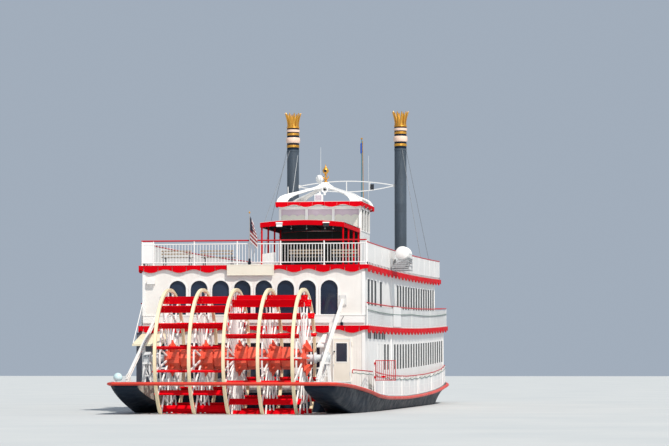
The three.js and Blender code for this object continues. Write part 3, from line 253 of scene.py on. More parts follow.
WIRE = paint("wire", (0.20, 0.21, 0.22), (0.1, 0.1, 0.1), rough=0.45, metal=0.7)
ROPE = paint("rope", (0.16, 0.24, 0.21), (0.1, 0.14, 0.12), rough=0.85, lumps=0.004)
TAN = paint("bench_tan_paint", (0.36, 0.28, 0.20), (0.22, 0.17, 0.12), streaks=0.4)
GOLD = paint("gold_leaf", (0.72, 0.36, 0.05), (0.34, 0.13, 0.015), rough=0.36, patches=0.6, metal=0.6)
BLUE_STAFF = paint("staff_blue_paint", (0.10, 0.24, 0.30), (0.06, 0.15, 0.2))
CURTAIN = paint("curtain_cloth", (0.66, 0.65, 0.58), (0.5, 0.49, 0.43), rough=0.85, lines=PLEATS)
for finish, sheen in ((BLACK, 0.1), (RED, 0.01), (PIPE_RED, 0.05), (BOARD_RED, 0.05), (ORANGE, 0.06)):
    finish.shader.inputs["Specular IOR Level"].default_value = sheen

GLASS = glazing("window_glass", (0.010, 0.018, 0.038), (0.022, 0.036, 0.07))
SIDE_GLASS = glazing("side_window_glass", (0.012, 0.014, 0.014), (0.032, 0.034, 0.03), 0.12, 0.3)
DOOR_GLASS = glazing("door_glass", (0.022, 0.026, 0.045), (0.035, 0.04, 0.06))
# Pilothouse glass: its light mauve is the eave's painted shadow
SHADED_MAUVE_GLASS = glazing("pilothouse_glass_painted_shade", (0.52, 0.43, 0.49), (0.66, 0.55, 0.62), 0.3, 0.2)
GLOBE = glazing("lamp_globe", (0.42, 0.6, 0.62), (0.62, 0.78, 0.8))

SLOT_FINISHES = {
    "hull_black": BLACK, "guard_red": ORANGE, "deck_grey": DECK, "house_white": WHITE, "valance_red": RED,
    "rail_grey": GREY, "rail_red": PIPE_RED, "stack_grey": STACK, "gold": GOLD, "wire_dark": DARK,
    "raft_grey": WHITE, "wheel_cream": CREAM, "board_red": BOARD_RED, "hub_orange": HUB,
    "flag_blue": BLUE_STAFF, "flag_red": RED,
}
NODE_FINISHES = {"upper_aft_wall": PLATE, "stern_door": DOOR}
for node in ("lower_aft_wall", "lower_front_wall_starboard", "lower_front_wall_port", "upper_front_wall"):
    NODE_FINISHES[node] = AFT_SIDING
for name in SIDES:
    NODE_FINISHES[f"lower_side_wall_{name}"] = NODE_FINISHES[f"upper_side_wall_{name}"] = SIDE_SIDING
SLOTS_OF_NODES = {row["node"]: row["material_slot"] for row in frame["record"]["subparts"]}
for node, thing in frame["nodes"].items():
    finish = NODE_FINISHES.get(node, SLOT_FINISHES[SLOTS_OF_NODES[node]])
    thing.data.materials.clear()
    thing.data.materials.append(finish.material)


# Shapes: faces are gathered in real metres and become one mesh, placed in the model's frame
LIE = {"x": lambda u, v, w: (w, u, v), "y": lambda u, v, w: (u, w, v)}


def mitred(before, point, after, least):
    """The outward normal of a plan path at a point, lengthened for the corner there; ends have one leg."""
    pairs = ((before, point), (point, after))
    legs = [Vector((b[0] - a[0], b[1] - a[1])).normalized() for a, b in pairs if a and b]
    total = sum(legs[1:], legs[0].copy()).normalized()
    normal = Vector((total.y, -total.x))
    return normal / max(least, normal.x * legs[0].y - normal.y * legs[0].x)


def ball(radius, height, count, start=0.0):
    """The profile of a ball, from its foot up."""
    return [(radius * sin(a), height - radius * cos(a)) for a in steps(start, pi, count)]


def softened(low, high, inner, outer, edge):
    """The outline of a bar with bevelled edges, as (radius, place along the axis) points."""
    return [
        (inner, low + edge), (inner + edge, low), (outer - edge, low), (outer, low + edge),
        (outer, high - edge), (outer - edge, high), (inner + edge, high), (inner, high - edge),
    ]


class Shape:
    """A mesh under construction, with a material for each face."""

    def __init__(self, finish):
        self.points, self.faces, self.kinds, self.finishes = [], [], [], []
        self.paint(finish)

    def paint(self, finish):
        if finish not in self.finishes:
            self.finishes.append(finish)
        self.kind = self.finishes.index(finish)
        return self

    def mesh(self, points, faces):
        base = len(self.points)
        self.points += [tuple(p) for p in points]
        self.faces += [tuple(base + i for i in face) for face in faces]
        self.kinds += [self.kind] * len(faces)
        return self

    def loft(self, rings, closed=False, caps=True):
        """Rings of points joined in order, closed on themselves or capped."""
        sides = len(rings[0])
        faces = []
        for i in range(len(rings) if closed else len(rings) - 1):
            here, there = i * sides, (i + 1) % len(rings) * sides
            for j in range(sides):
                k = (j + 1) % sides
                faces.append((here + j, here + k, there + k, there + j))
        if caps and not closed:
            faces.append(tuple(reversed(range(sides))))
            faces.append(tuple((len(rings) - 1) * sides + j for j in range(sides)))
        return self.mesh([p for ring in rings for p in ring], faces)

    def box(self, x, y, z):
        (x0, x1), (y0, y1), (z0, z1) = sorted(x), sorted(y), sorted(z)
        ring = [(x0, y0), (x1, y0), (x1, y1), (x0, y1)]
        return self.loft([[(a, b, z0) for a, b in ring], [(a, b, z1) for a, b in ring]])

    def prism(self, axis, outline, span):
        """An outline pushed along an axis: (y, z) points along x, or (x, z) points along y."""
        return self.loft([[LIE[axis](u, v, w) for u, v in outline] for w in span])

    def tube(self, path, radius, sides=8):
        """A round bar along a path; radius is one value or one for each point."""
        points = [Vector(p) for p in path]
        count = len(points)
        radii = radius if isinstance(radius, (list, tuple)) else [radius] * count
        side = None
        rings = []
        for i, point in enumerate(points):
            along = (points[min(i + 1, count - 1)] - points[max(i - 1, 0)]).normalized()
            side = along.orthogonal() if side is None else side
            side = (side - along * side.dot(along)).normalized()
            across = along.cross(side)
            rings.append([point + (side * cos(a) + across * sin(a)) * radii[i] for a in turns(sides)])
        return self.loft(rings)

    def beam(self, start, end, width, depth, up=(0, 0, 1)):
        """A box section between two points: width is level, depth is along up."""
        start, end = Vector(start), Vector(end)
        along = (end - start).normalized()
        side = along.cross(Vector(up)).normalized() * width / 2
        rise = side.cross(along).normalized() * depth / 2
        corners = [side + rise, side - rise, -side - rise, -side + rise]
        return self.loft([[start + c for c in corners], [end + c for c in corners]])

    def turned(self, profile, sides, centre=(0, 0, 0), axis="z", closed=False):
        """A turned form from (radius, height) points about an axis through the centre."""
        spin = {"z": lambda r, h, c, s: (r * c, r * s, h), "x": lambda r, h, c, s: (h, r * c, r * s)}[axis]
        rings = []
        for turn in turns(sides):
            c, s = cos(turn), sin(turn)
            rings.append([tuple(a + b for a, b in zip(spin(r, h, c, s), centre)) for r, h in profile])
        if closed:
            return self.loft(rings, closed=True)
        length = len(profile)
        faces = []
        for i in range(sides):
            here, there = i * length, (i + 1) % sides * length
            faces += [(here + k, there + k, there + k + 1, here + k + 1) for k in range(length - 1)]
        return self.mesh([p for ring in rings for p in ring], faces)

    def hoop(self, low, high, inner, outer, edge, sides, centre):
        """A bar with bevelled edges bent into a ring about a cross shaft."""
        return self.turned(softened(low, high, inner, outer, edge), sides, centre, "x", closed=True)

    def sweep(self, path, section, closed=False):
        """A section swept along a plan path: section(x, y) gives (offset outward, height) points."""
        rings = []
        count = len(path)
        for i, (x, y) in enumerate(path):
            before = path[i - 1] if i or closed else None
            after = path[(i + 1) % count] if i < count - 1 or closed else None
            out = mitred(before, (x, y), after, 0.2)
            rings.append([(x + out.x * far, y + out.y * far, z) for far, z in section(x, y)])
        return self.loft(rings, closed)

    def edging(self, axis, outline, near, far, span):
        """A frame that follows a closed anticlockwise outline, between two offsets outward from it."""
        rings = []
        for i, (u, v) in enumerate(outline):
            out = mitred(outline[i - 1], (u, v), outline[(i + 1) % len(outline)], 0.3)
            corners = ((near, span[0]), (far, span[0]), (far, span[1]), (near, span[1]))
            rings.append([LIE[axis](u + out.x * offset, v + out.y * offset, w) for offset, w in corners])
        return self.loft(rings, closed=True)

    def lay(self, count, turn):
        """Moves the newest points, each by a function of its place."""
        self.points[-count:] = [turn(*point) for point in self.points[-count:]]
        return self

    def on_side(self, side):
        """Turns everything so far over to the given side of the boat."""
        self.points = [(side * x, y, z) for x, y, z in self.points]
        return self

    def mirrored(self):
        """Adds a copy of everything so far on the other side of the boat."""
        count = len(self.points)
        self.points += [(-x, y, z) for x, y, z in self.points]
        self.faces += [tuple(count + i for i in reversed(face)) for face in self.faces]
        self.kinds += list(self.kinds)
        return self

    def piece(self, name, slot="house_white", instead=(), body="boat", sharp=32):
        """Makes the object, faces outward, rides it on its body and hides the solids it stands for."""
        data = bpy.data.meshes.new(name)
        data.from_pydata([place(*p) for p in self.points], [], self.faces)
        for finish in self.finishes:
            data.materials.append(finish.material)
        data.polygons.foreach_set("material_index", self.kinds)
        data.polygons.foreach_set("use_smooth", [True] * len(self.faces))
        data.update()
        mesh = bmesh.new()
        mesh.from_mesh(data)
        bmesh.ops.recalc_face_normals(mesh, faces=mesh.faces)
        mesh.to_mesh(data)
        mesh.free()
        data.set_sharp_from_angle(angle=radians(sharp))
        thing = bpy.data.objects.new(name, data)
        bpy.context.scene.collection.objects.link(thing)
        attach(thing, body)
        if instead:
            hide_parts(*instead)


# Paddle wheel: hoops, spokes, brace rings, boards and hub, turned about the shaft
WHEEL_Y, WHEEL_Z = -3.8, 2.35
SHAFT = (0, WHEEL_Y, WHEEL_Z)
FRAMES = [-2.9, -1.45, 0, 1.45, 2.9]
SPOKES = 16
HALF_PITCH = pi / SPOKES
# The spokes' phases in each frame: the middle one carries both halves of the wheel
FRAME_PHASES = [(HALF_PITCH,), (HALF_PITCH,), (0, HALF_PITCH), (0,), (0,)]
BRACE_RADIUS, RIM_RADIUS = 1.91, 2.77


def wheel_point(angle, x, out, across=0.0):
    """A point of the wheel: x along the shaft, out from it and across, turned about it."""
    c, s = cos(angle), sin(angle)
    return (x, WHEEL_Y + out * c - across * s, WHEEL_Z + out * s + across * c)


def wheel_bar(shape, angle, x, out, across):
    """A bar in the wheel, given by its spans along the shaft, outward and across."""
    (x0, x1), (a0, a1) = x, across
    corners = ((x0, a0), (x1, a0), (x1, a1), (x0, a1))
    return shape.loft([[wheel_point(angle, u, r, v) for u, v in corners] for r in out])


def about(middle, half):
    return (middle - half, middle + half)


def wheel_frame(index):
    middle = FRAMES[index]
    spokes = [angle for phase in FRAME_PHASES[index] for angle in turns(SPOKES, phase)]
    shape = Shape(CREAM)
    shape.hoop(*about(middle, 0.065), 2.83, 2.97, 0.01, 96, SHAFT)
    shape.paint(WHITE)
    shape.hoop(*about(middle, 0.035), 1.88, 1.94, 0.006, 64, SHAFT)
    for angle in spokes:
        wheel_bar(shape, angle, about(middle, 0.03), (0.45, 2.84), about(0, 0.034))
        wheel_bar(shape, angle, about(middle, 0.036), (2.7, 2.835), about(0, 0.05))
    shape.paint(GREY)
    for angle in spokes:
        for out in (BRACE_RADIUS, RIM_RADIUS):
            wheel_bar(shape, angle, about(middle, 0.045), about(out, 0.016), about(0, 0.016))
    shape.piece(f"wheel_hoop_{index + 1}", "wheel_cream", [f"wheel_frame_{index + 1}"], "paddle_wheel")


def wheel_boards(name, start, end, phase):
    """One half of the wheel's boards, each with its joint lines at the frames and its bolt heads."""
    shape = Shape(BOARD_RED)
    cuts = [x for x in FRAMES if start < x < end]
    bolts = [x + dx for x in FRAMES if start < x + 0.09 and x - 0.09 < end for dx in (-0.09, 0.09)]
    for angle in turns(SPOKES, phase):
        for a, b in zip([start] + cuts, cuts + [end]):
            span = (a + 0.006, b - 0.006)
            wheel_bar(shape, angle, span, (2.36, 2.67), (0.036, 0.084))
            wheel_bar(shape, angle, span, (2.36, 2.385), (0.084, 0.11))
        shape.paint(HUB)
        for x in bolts:
            for out in (2.44, 2.59):
                wheel_bar(shape, angle, about(x, 0.014), about(out, 0.014), (0.084, 0.1))
        shape.paint(BOARD_RED)
    shape.piece(name, "board_red", body="paddle_wheel")


def wheel_hub():
    """The drum with its star flanges and eight-sided collars, and the journals at its ends."""
    shape = Shape(HUB)

    def polygon(radius, low, high, phase=0.0):
        shape.loft([[wheel_point(a, x, radius) for a in turns(8, phase)] for x in (low, high)])

    polygon(0.4, -3.05, 3.05)
    for middle in FRAMES:
        shape.hoop(*about(middle, 0.06), 0.3, 0.6, 0.012, 48, SHAFT)
        inner = middle + 0.09
        shape.loft([[wheel_point(a, x, 0.55 if i % 2 else 0.66) for i, a in enumerate(turns(16))]
                    for x in about(inner, 0.02)])
        if middle < FRAMES[-1]:
            polygon(0.54, inner + 0.02, inner + 0.42, HALF_PITCH * 2)
            polygon(0.48, inner + 0.48, inner + 0.92)
        fin = ((0, 0.4), (0, 0.78), (0.05, 0.77), (0.12, 0.63), (0.22, 0.5), (0.24, 0.4))
        for angle in turns(8):
            shape.loft([[wheel_point(angle, inner + along, out, half) for along, out in fin]
                        for half in (0.03, -0.03)])
        for angle in turns(SPOKES):
            wheel_bar(shape, angle, about(middle, 0.085), (0.5, 0.54), about(0, 0.02))
    shape.paint(GREY)
    journal = [(0, -4.04), (0.146, -4.04), (0.15, -4.02), (0.15, 4.02), (0.146, 4.04), (0, 4.04)]
    shape.turned(journal, 40, SHAFT, "x")
    for middle in (-3.4, 3.4):
        shape.hoop(*about(middle, 0.05), 0.1, 0.24, 0.015, 40, SHAFT)
    shape.piece("wheel_hub", "hub_orange", ["wheel_shaft"], "paddle_wheel")


def bearing(name, side):
    """A pedestal bearing: plated legs on a bed, a split block with bolted cap, and a grease pipe."""
    x, upright = 3.84, (0, 1, 0)
    shape = Shape(WHITE)
    foot = main_line(WHEEL_Y) + 0.005
    shape.box(about(x, 0.24), about(WHEEL_Y, 0.34), (foot, foot + 0.05))
    for y in about(WHEEL_Y, 0.24):
        for way in (-1, 1):
            shape.beam((x + way * 0.19, y, foot + 0.04), (x + way * 0.1, y, 2.12), 0.06, 0.06, upright)
        shape.beam((x - 0.17, y, foot + 0.12), (x + 0.11, y, 2.0), 0.035, 0.035, upright)
        shape.beam((x - 0.15, y, 1.6), (x + 0.15, y, 1.6), 0.04, 0.05, upright)
    shape.box(about(x, 0.17), about(WHEEL_Y, 0.32), (2.1, 2.17))
    shape.paint(GREY)
    shape.hoop(*about(x, 0.14), 0.156, 0.27, 0.02, 40, SHAFT)
    for way in (-1, 1):
        shape.box(about(x, 0.12), (WHEEL_Y + way * 0.2, WHEEL_Y + way * 0.29), (2.16, WHEEL_Z + 0.05))
    shape.paint(DARK)
    for bolt_x in about(x, 0.07):
        for y in about(WHEEL_Y, 0.25):
            shape.turned([(0, 2.39), (0.022, 2.39), (0.022, 2.47), (0, 2.47)], 6, (bolt_x, y, 0))
    pipe = [(0, 2.6), (0, 2.615), (0.1, 2.618), (0.33, 2.3), (0.33, foot + 0.1)]
    shape.tube([(x, WHEEL_Y + dy, z) for dy, z in pipe], 0.012, 6)
    shape.on_side(side).piece(f"bearing_{name}", "wheel_cream", [f"wheel_bearing_{name}"])


for index in range(len(FRAMES)):
    wheel_frame(index)
wheel_boards("wheel_boards_port", -3.08, -0.01, HALF_PITCH)
wheel_boards("wheel_boards_starboard", 0.01, 3.08, 0)
wheel_hub()
for name, side in SIDES.items():
    bearing(name, side)


# Hull: a smooth shell with a rounded bilge, and the half-round guard rail round it
# Columns: place, half-width at the guard, at the waterline and at the bottom, height of the bottom
HULL_LINES = [
    (-0.4, 5.3, 5.02, 4.7, -0.3), (2, 5.35, 5.05, 4.75, -0.75), (5, 5.35, 5.05, 4.75, -1.25),
    (8, 5.35, 5.05, 4.75, -1.4), (12, 5.35, 5.05, 4.75, -1.4), (16, 5.35, 5.05, 4.75, -1.4),
    (20, 5.35, 5.05, 4.75, -1.4), (24, 5.35, 5.02, 4.7, -1.4), (28, 5.28, 4.75, 4.3, -1.4),
    (31.6, 5.08, 3.9, 3.2, -1.35), (34.6, 4.1, 2.5, 1.7, -1.15), (36.6, 3.0, 1.35, 0.8, -0.8),
    (38, 1.75, 0.5, 0.3, -0.25), (38.6, 0.95, 0.1, 0.06, 0.3),
]
# Columns: place, half-width at the guard, half-width and height of the swelling side, half-width and height
# of the lower edge, height of the edge beside the wheel
QUARTER_LINES = [
    (-7.2, 4.5, 4.47, 1.15, 4.4, 1.12, 1.12), (-6.9, 4.72, 4.64, 1.06, 4.5, 0.98, 1.01),
    (-5.4, 4.92, 4.75, 0.7, 4.5, 0.53, 0.72), (-3.6, 5.05, 4.86, 0.4, 4.58, 0.2, 0.45),
    (-1.8, 5.2, 4.97, 0.15, 4.66, -0.1, 0.14), (-0.4, 5.3, 5.02, -0.06, 4.7, -0.3, -0.3),
]
WELL = 3.48
RAIL_DROP = 0.06
PLAN = [row[:2] for row in QUARTER_LINES + HULL_LINES[1:]]
side_half, deck_half = rounded(PLAN, 1), straight(PLAN, 1)


def round_boat(path):
    """A plan path along the starboard side, carried on round to port."""
    return path + [(-x, y) for x, y in reversed(path)]


def hull():
    columns = (rounded(HULL_LINES, column) for column in (1, 2, 3, 4))
    guard_half, water_half, bottom_half, bottom_height = columns
    shape = Shape(BLACK)
    rings = []
    for y in steps(-0.4, 38.6, 130):
        guard, water, bottom, foot = guard_half(y), water_half(y), bottom_half(y), bottom_height(y)
        rail, low = guard_line(y) - RAIL_DROP, min(0.0, foot * 0.2)
        half = [(guard - 0.004, main_line(y) - 0.13), (guard, rail)]
        half += [(guard + (water - guard) * t**0.8, rail + (low - rail) * t) for t in steps(0.2, 1, 4)]
        for angle in steps(0.1 * pi, pi / 2, 5):
            half.append((bottom + (water - bottom) * cos(angle) ** 0.7, low + (foot - low) * sin(angle)))
        rings.append([(x, y, z) for x, z in half] + [(-x, y, z) for x, z in reversed(half)])
    shape.loft(rings)
    for x in (-1.9, 1.9):
        shape.turned([(0, -0.66), (0.2, -0.66), (0.2, 0)], 32, (x, 1.2, 0))
    shape.piece("hull_shell", "hull_black", ["hull_body"], sharp=40)


def guard():
    shape = Shape(ORANGE)
    path = [(side_half(y), y) for y in steps(-7.2, -6.9, 4) + steps(-6.7, 38.6, 150)]
    arc = [(0.003 + 0.148 * sin(a), -0.075 * cos(a)) for a in steps(0, pi, 10)]
    shape.sweep(round_boat(path), lambda x, y: [(out, guard_line(y) + rise) for out, rise in arc],
                closed=True)
    shape.piece("guard_pipe", "guard_red", ["guard_rail"])


def quarter(name, side):
    """A raked quarter beside the wheel: black outside, its lining streaked by the spray and darkened by
    painted shade in the well, and a grey deck.
    """
    columns = (rounded(QUARTER_LINES, column) for column in range(2, 7))
    swell, swell_high, chine, chine_high, well_high = columns
    guard_edge = straight(QUARTER_LINES, 1)
    places = steps(-7.2, -6.9, 2) + steps(-6.6, -0.401, 20)
    shape = Shape(BLACK)

    def outside(y):
        """The outer side from the guard down to the lower edge, curved through the swelling side."""
        top, low = (guard_edge(y) - 0.004, guard_line(y) - RAIL_DROP), (chine(y), chine_high(y))
        pull = [2 * b - (a + c) / 2 for a, b, c in zip(top, (swell(y), swell_high(y)), low)]
        return [tuple((1 - t) ** 2 * a + 2 * t * (1 - t) * b + t * t * c for a, b, c in zip(top, pull, low))
                for t in steps(0, 1, 8)]

    rings = []
    for y in places:
        head = main_line(y) - 0.004
        section = [(WELL + 0.01, head), (guard_edge(y) - 0.004, head), *outside(y),
                   (WELL + 0.01, well_high(y))]
        rings.append([(x, y, z) for x, z in section])
    shape.loft(rings)
    # The lining's dark tone is painted shade in the well, with spray streaks over it
    shape.paint(LINING_STAIN_AND_SHADE)
    lining = [(y, max(well_high(y), chine_high(y)) + 0.02) for y in places]
    lining += [(y, main_line(y) - 0.005) for y in reversed(places)]
    shape.prism("x", lining, about(WELL, 0.012))
    # Columns: paint, inner edge, outer edge in from the guard's, thickness
    strips = ((DECK, lambda y: WELL - 0.012, 0.09, 0.003),
              (WHITE, lambda y: guard_edge(y) - 0.088, 0.01, 0.02))
    for finish, inner, margin, thick in strips:
        shape.paint(finish)
        shape.loft([[(x, y, main_line(y) + rise) for x, rise in (
            (inner(y), -0.004), (inner(y), thick),
            (guard_edge(y) - margin, thick), (guard_edge(y) - margin, -0.004))]
            for y in places])
    shape.on_side(side).piece(f"quarter_shell_{name}", "hull_black", [f"quarter_{name}"], sharp=40)


hull()
guard()
for name, side in SIDES.items():
    quarter(name, side)


# Valances: wavy red panels hung round the deck edges, with a bead along the top and a slit between panels
VALANCE_FACE = 5.148
VALANCE_AFT = -0.098
VALANCE_DROP, VALANCE_WAVE, VALANCE_THICK = 0.25, 0.075, 0.036


def wavy_panels(shape, axis, start, end, count, face, line, depth, swell, slit, shift=0.0):
    """Panels between start and end whose lower edges follow one wave; shift moves the wave along."""
    width = (end - start) / count
    between = (start + shift + i * width for i in range(count + 1))
    joints = [start] + [joint for joint in between if start < joint < end] + [end]
    for low, high in zip(joints, joints[1:]):
        a, b = low + slit / 2, high - slit / 2
        lower = [(u, line(u) - depth - swell * sin(pi * (u - start - shift) / width))
                 for u in steps(a, b, 10)]
        shape.prism(axis, lower + [(b, line(b) - 0.012), (a, line(a) - 0.012)], face)


def valance(name, front, line, nodes):
    shape = Shape(RED)
    end = front + 0.048
    for y, height in ((VALANCE_AFT, line(0)), (front + 0.012, line(front))):
        wavy_panels(shape, "y", -VALANCE_FACE, VALANCE_FACE, 16, (y, y + VALANCE_THICK), lambda u: height,
                    VALANCE_DROP, VALANCE_WAVE, 0.03, 0.23)
    for side in SIDES.values():
        face = (side * (VALANCE_FACE - VALANCE_THICK), side * VALANCE_FACE)
        wavy_panels(shape, "x", VALANCE_AFT, end, 2 * round((front + 0.1) / 1.31), face, line,
                    VALANCE_DROP, VALANCE_WAVE, 0.016)
    path = [(VALANCE_FACE, y) for y in [VALANCE_AFT, 0, *(y for y in STATIONS if 0 < y < front), end]]
    bead = ((-0.045, -0.05), (0.0, -0.05), (0.006, -0.025), (0.0, 0), (-0.045, 0))
    shape.sweep(round_boat(path), lambda x, y: [(out, line(y) + rise) for out, rise in bead], closed=True)
    shape.piece(name, "valance_red", nodes)


valance("second_valance_panels", 32, second_line, ["second_valance", "second_valance_aft"])
valance("third_valance_panels", 28.6, third_line, ["third_valance"])


# Windows: glass behind each wall, and a raised frame round every opening
ARCH_CENTRES = [0.97 * (i - 3.5) for i in range(8)]
PLAIN_CENTRES = steps(-3.9, 2.6, 5)
# Columns: aft edge of the first window, width, pitch, number, sill and head below the deck above
LOWER_WINDOWS = [(9.9, 0.65, 1.07, 20, 1.96, 0.78), (4.2, 0.65, 1.07, 4, 1.96, 0.78),
                 (0.25, 0.8, 1, 1, 2.5, 0.6)]
UPPER_WINDOWS = [(0.9, 0.68, 1.1, 3, 1.75, 0.6), (4.9, 0.75, 1, 1, 2.5, 0.6), (11, 0.7, 1.07, 15, 1.735, 0.6)]
# Dark slots near the lower ceiling, painted shade under the deck above: their spans along the boat
LOWER_SHADE_SLOTS = [(1.1, 1.5), (1.6, 2.0), (2.9, 3.45), (3.6, 4.1), (4.5, 5.2), (5.6, 6.1), (6.25, 6.7)]
SIDE_FACE = 4.955


def arch(centre, radius, sill, crown):
    head = [(centre + radius * cos(a), crown - radius + radius * sin(a)) for a in steps(0, pi, 20)]
    return [(centre - radius, sill), (centre + radius, sill)] + head


def rectangle(centre, half, low, high):
    return [(centre - half, low), (centre + half, low), (centre + half, high), (centre - half, high)]


def aft_windows():
    """Eight arched windows over a sill beam, and a row of plain ones below."""
    shape = Shape(WHITE)
    for centre in ARCH_CENTRES:
        shape.edging("y", arch(centre, 0.395, 4.27, 5.8), -0.014, 0.06, (-0.022, 0.0))
    for centre in PLAIN_CENTRES:
        shape.edging("y", rectangle(centre, 0.4, 1.45, 3.05), -0.02, 0.05, (-0.02, -0.001))
        shape.box(about(centre, 0.4), (-0.02, -0.001), (1.89, 1.96))
    shape.box((-4.95, 4.95), (-0.06, -0.002), (3.92, 4.21))
    shape.box((-4.97, 4.97), (-0.075, -0.002), (4.23, 4.255))
    for side in SIDES.values():
        for height in ((1.0, 3.64), (4.26, 6.18)):
            shape.box((side * 4.84, side * 4.985), (-0.024, -0.001), height)
            shape.box((side * 4.961, side * 4.985), (-0.001, 0.14), height)
    shape.paint(GLASS)
    shape.box((-4.2, 4.2), (0.07, 0.085), (4.2, 5.88))
    shape.box((-4.5, 3.2), (0.07, 0.085), (1.8, 3.2))
    for centre in PLAIN_CENTRES:
        shape.box(about(centre, 0.39), (-0.012, -0.001), (1.46, 1.9))
    # A dark sheet behind the doorway is painted shade inside the house
    shape.paint(DARK).box((3.5, 4.42), (0.07, 0.085), (1.3, 3.3))
    # A dark panel at the port end of the lower wall is painted shadow under the port shade
    shape.paint(STEEL_AND_SHADE).box((-4.83, -4.38), (-0.018, -0.001), (1.15, 3.3))
    shape.piece("aft_windows")


def side_windows(name, rows, ceiling, foot, front, blind, slots):
    """Panes flush with both sides of a house, blinds over some, dark glass slots near the ceiling that are
    painted shade under the deck, and corner boards.
    """

    def pane(a, b, sill, top):
        return [(a, ceiling(a) - sill), (b, ceiling(b) - sill), (b, ceiling(b) - top), (a, ceiling(a) - top)]

    shape = Shape(WHITE)
    panes = [(first + i * pitch, first + i * pitch + width, sill, top)
             for first, width, pitch, number, sill, top in rows for i in range(number)]
    for row in panes:
        shape.edging("x", pane(*row), 0.0, 0.04, (SIDE_FACE, SIDE_FACE + 0.011))
    for y in (8.9, front - 0.12):
        shape.box((SIDE_FACE, SIDE_FACE + 0.035), (y, y + 0.12), (foot(y) + 0.01, ceiling(y) - 0.13))
    for row in panes:
        finish, span = (SIDE_SIDING, (4.93, 4.956)) if row[0] < blind else (SIDE_GLASS, (4.935, 4.957))
        shape.paint(finish).prism("x", pane(*row), span)
    # Dark glass slots near the ceiling: painted shade under the deck above
    shape.paint(SIDE_GLASS)
    for a, b in slots:
        shape.prism("x", pane(a, b, 0.56, 0.24), (SIDE_FACE + 0.003, SIDE_FACE + 0.009))
    shape.mirrored().piece(name)


def front_windows():
    """The windows that face the bow, on both decks, with door frames between them."""
    shape = Shape(WHITE)
    # Columns: face of the wall, low and high edge of the windows, foot and head of the doorway
    storeys = ((31.36, 2.3, 3.7, 1.17, 4.12), (27.06, 4.95, 6.1, 4.3, 6.3))
    for face, low, high, foot, head in storeys:
        for centre in (-3.9, -2.6, -1.3, 1.3, 2.6, 3.9):
            shape.edging("y", rectangle(centre, 0.4, low, high), -0.02, 0.05, (face - 0.01, face + 0.02))
        shape.edging("y", rectangle(0, 0.55, foot, head), -0.01, 0.06, (face - 0.01, face + 0.02))
    shape.paint(GLASS)
    for face, low, high, _, _ in storeys:
        for side in SIDES.values():
            shape.box((side * 0.85, side * 4.35), (face - 0.085, face - 0.07), (low - 0.05, high + 0.05))
    shape.piece("front_windows")


def door_fittings():
    """Glass, frame, knob and hinge leaves of the stern door, hung on the leaf."""
    shape = Shape(DOOR_GLASS)
    shape.box((3.68, 4.22), (-0.032, -0.02), (2.18, 3.05))
    shape.paint(WHITE)
    shape.edging("y", rectangle(3.95, 0.25, 2.2, 3.03), -0.012, 0.03, (-0.056, -0.03))
    shape.edging("y", rectangle(3.96, 0.41, 1.31, 3.25), -0.05, -0.004, (-0.054, -0.04))
    shape.paint(DARK)
    knob = [(0, -0.002), (0.03, -0.002), (0.03, 0.01), (0.014, 0.014), (0.014, 0.04), (0.036, 0.05),
            (0.036, 0.07), (0, 0.075)]
    shape.turned(knob, 16).lay(16 * len(knob), lambda a, b, c: (3.63 + a, -0.045 - c, 2.65 + b))
    shape.paint(GREY)
    for z in (1.6, 2.25, 2.9):
        shape.box((4.3, 4.37), (-0.052, -0.044), (z, z + 0.16))
    shape.piece("door_fittings", body="door_leaf")


aft_windows()
side_windows("lower_side_windows", LOWER_WINDOWS, second_line, main_line, 31.25, 6, LOWER_SHADE_SLOTS)
side_windows("upper_side_windows", UPPER_WINDOWS, third_line, second_line, 26.95, 0, [])
front_windows()
door_fittings()


# Railings round the decks
RAIL_HALF = 5.06


def polyline(path, spacing):
    """Points at an even spacing along each run between a plan path's corners, each with its direction."""
    legs = [Vector(after) - Vector(before) for before, after in zip(path, path[1:])]
    ways = [leg.normalized() for leg in legs]
    corners = [0] + [i for i in range(1, len(legs)) if ways[i].dot(ways[i - 1]) < 0.8] + [len(legs)]
    places = []
    for first, last in zip(corners, corners[1:]):
        run = [0.0, *np.cumsum([leg.length for leg in legs[first:last]])]
        xs, ys = zip(*path[first:last + 1])
        count = max(1, round(run[-1] / spacing))
        for i in range(count):
            far = run[-1] * i / count
            way = ways[first + int(np.searchsorted(run, far, "right")) - 1]
            places.append((float(np.interp(far, run, xs)), float(np.interp(far, run, ys)), way.x, way.y))
    return places + [(*path[-1], *ways[-1])]


def loop_path(aft, front):
    return round_boat([(RAIL_HALF, y) for y in [aft, *(y for y in STATIONS if aft < y < front), front]])


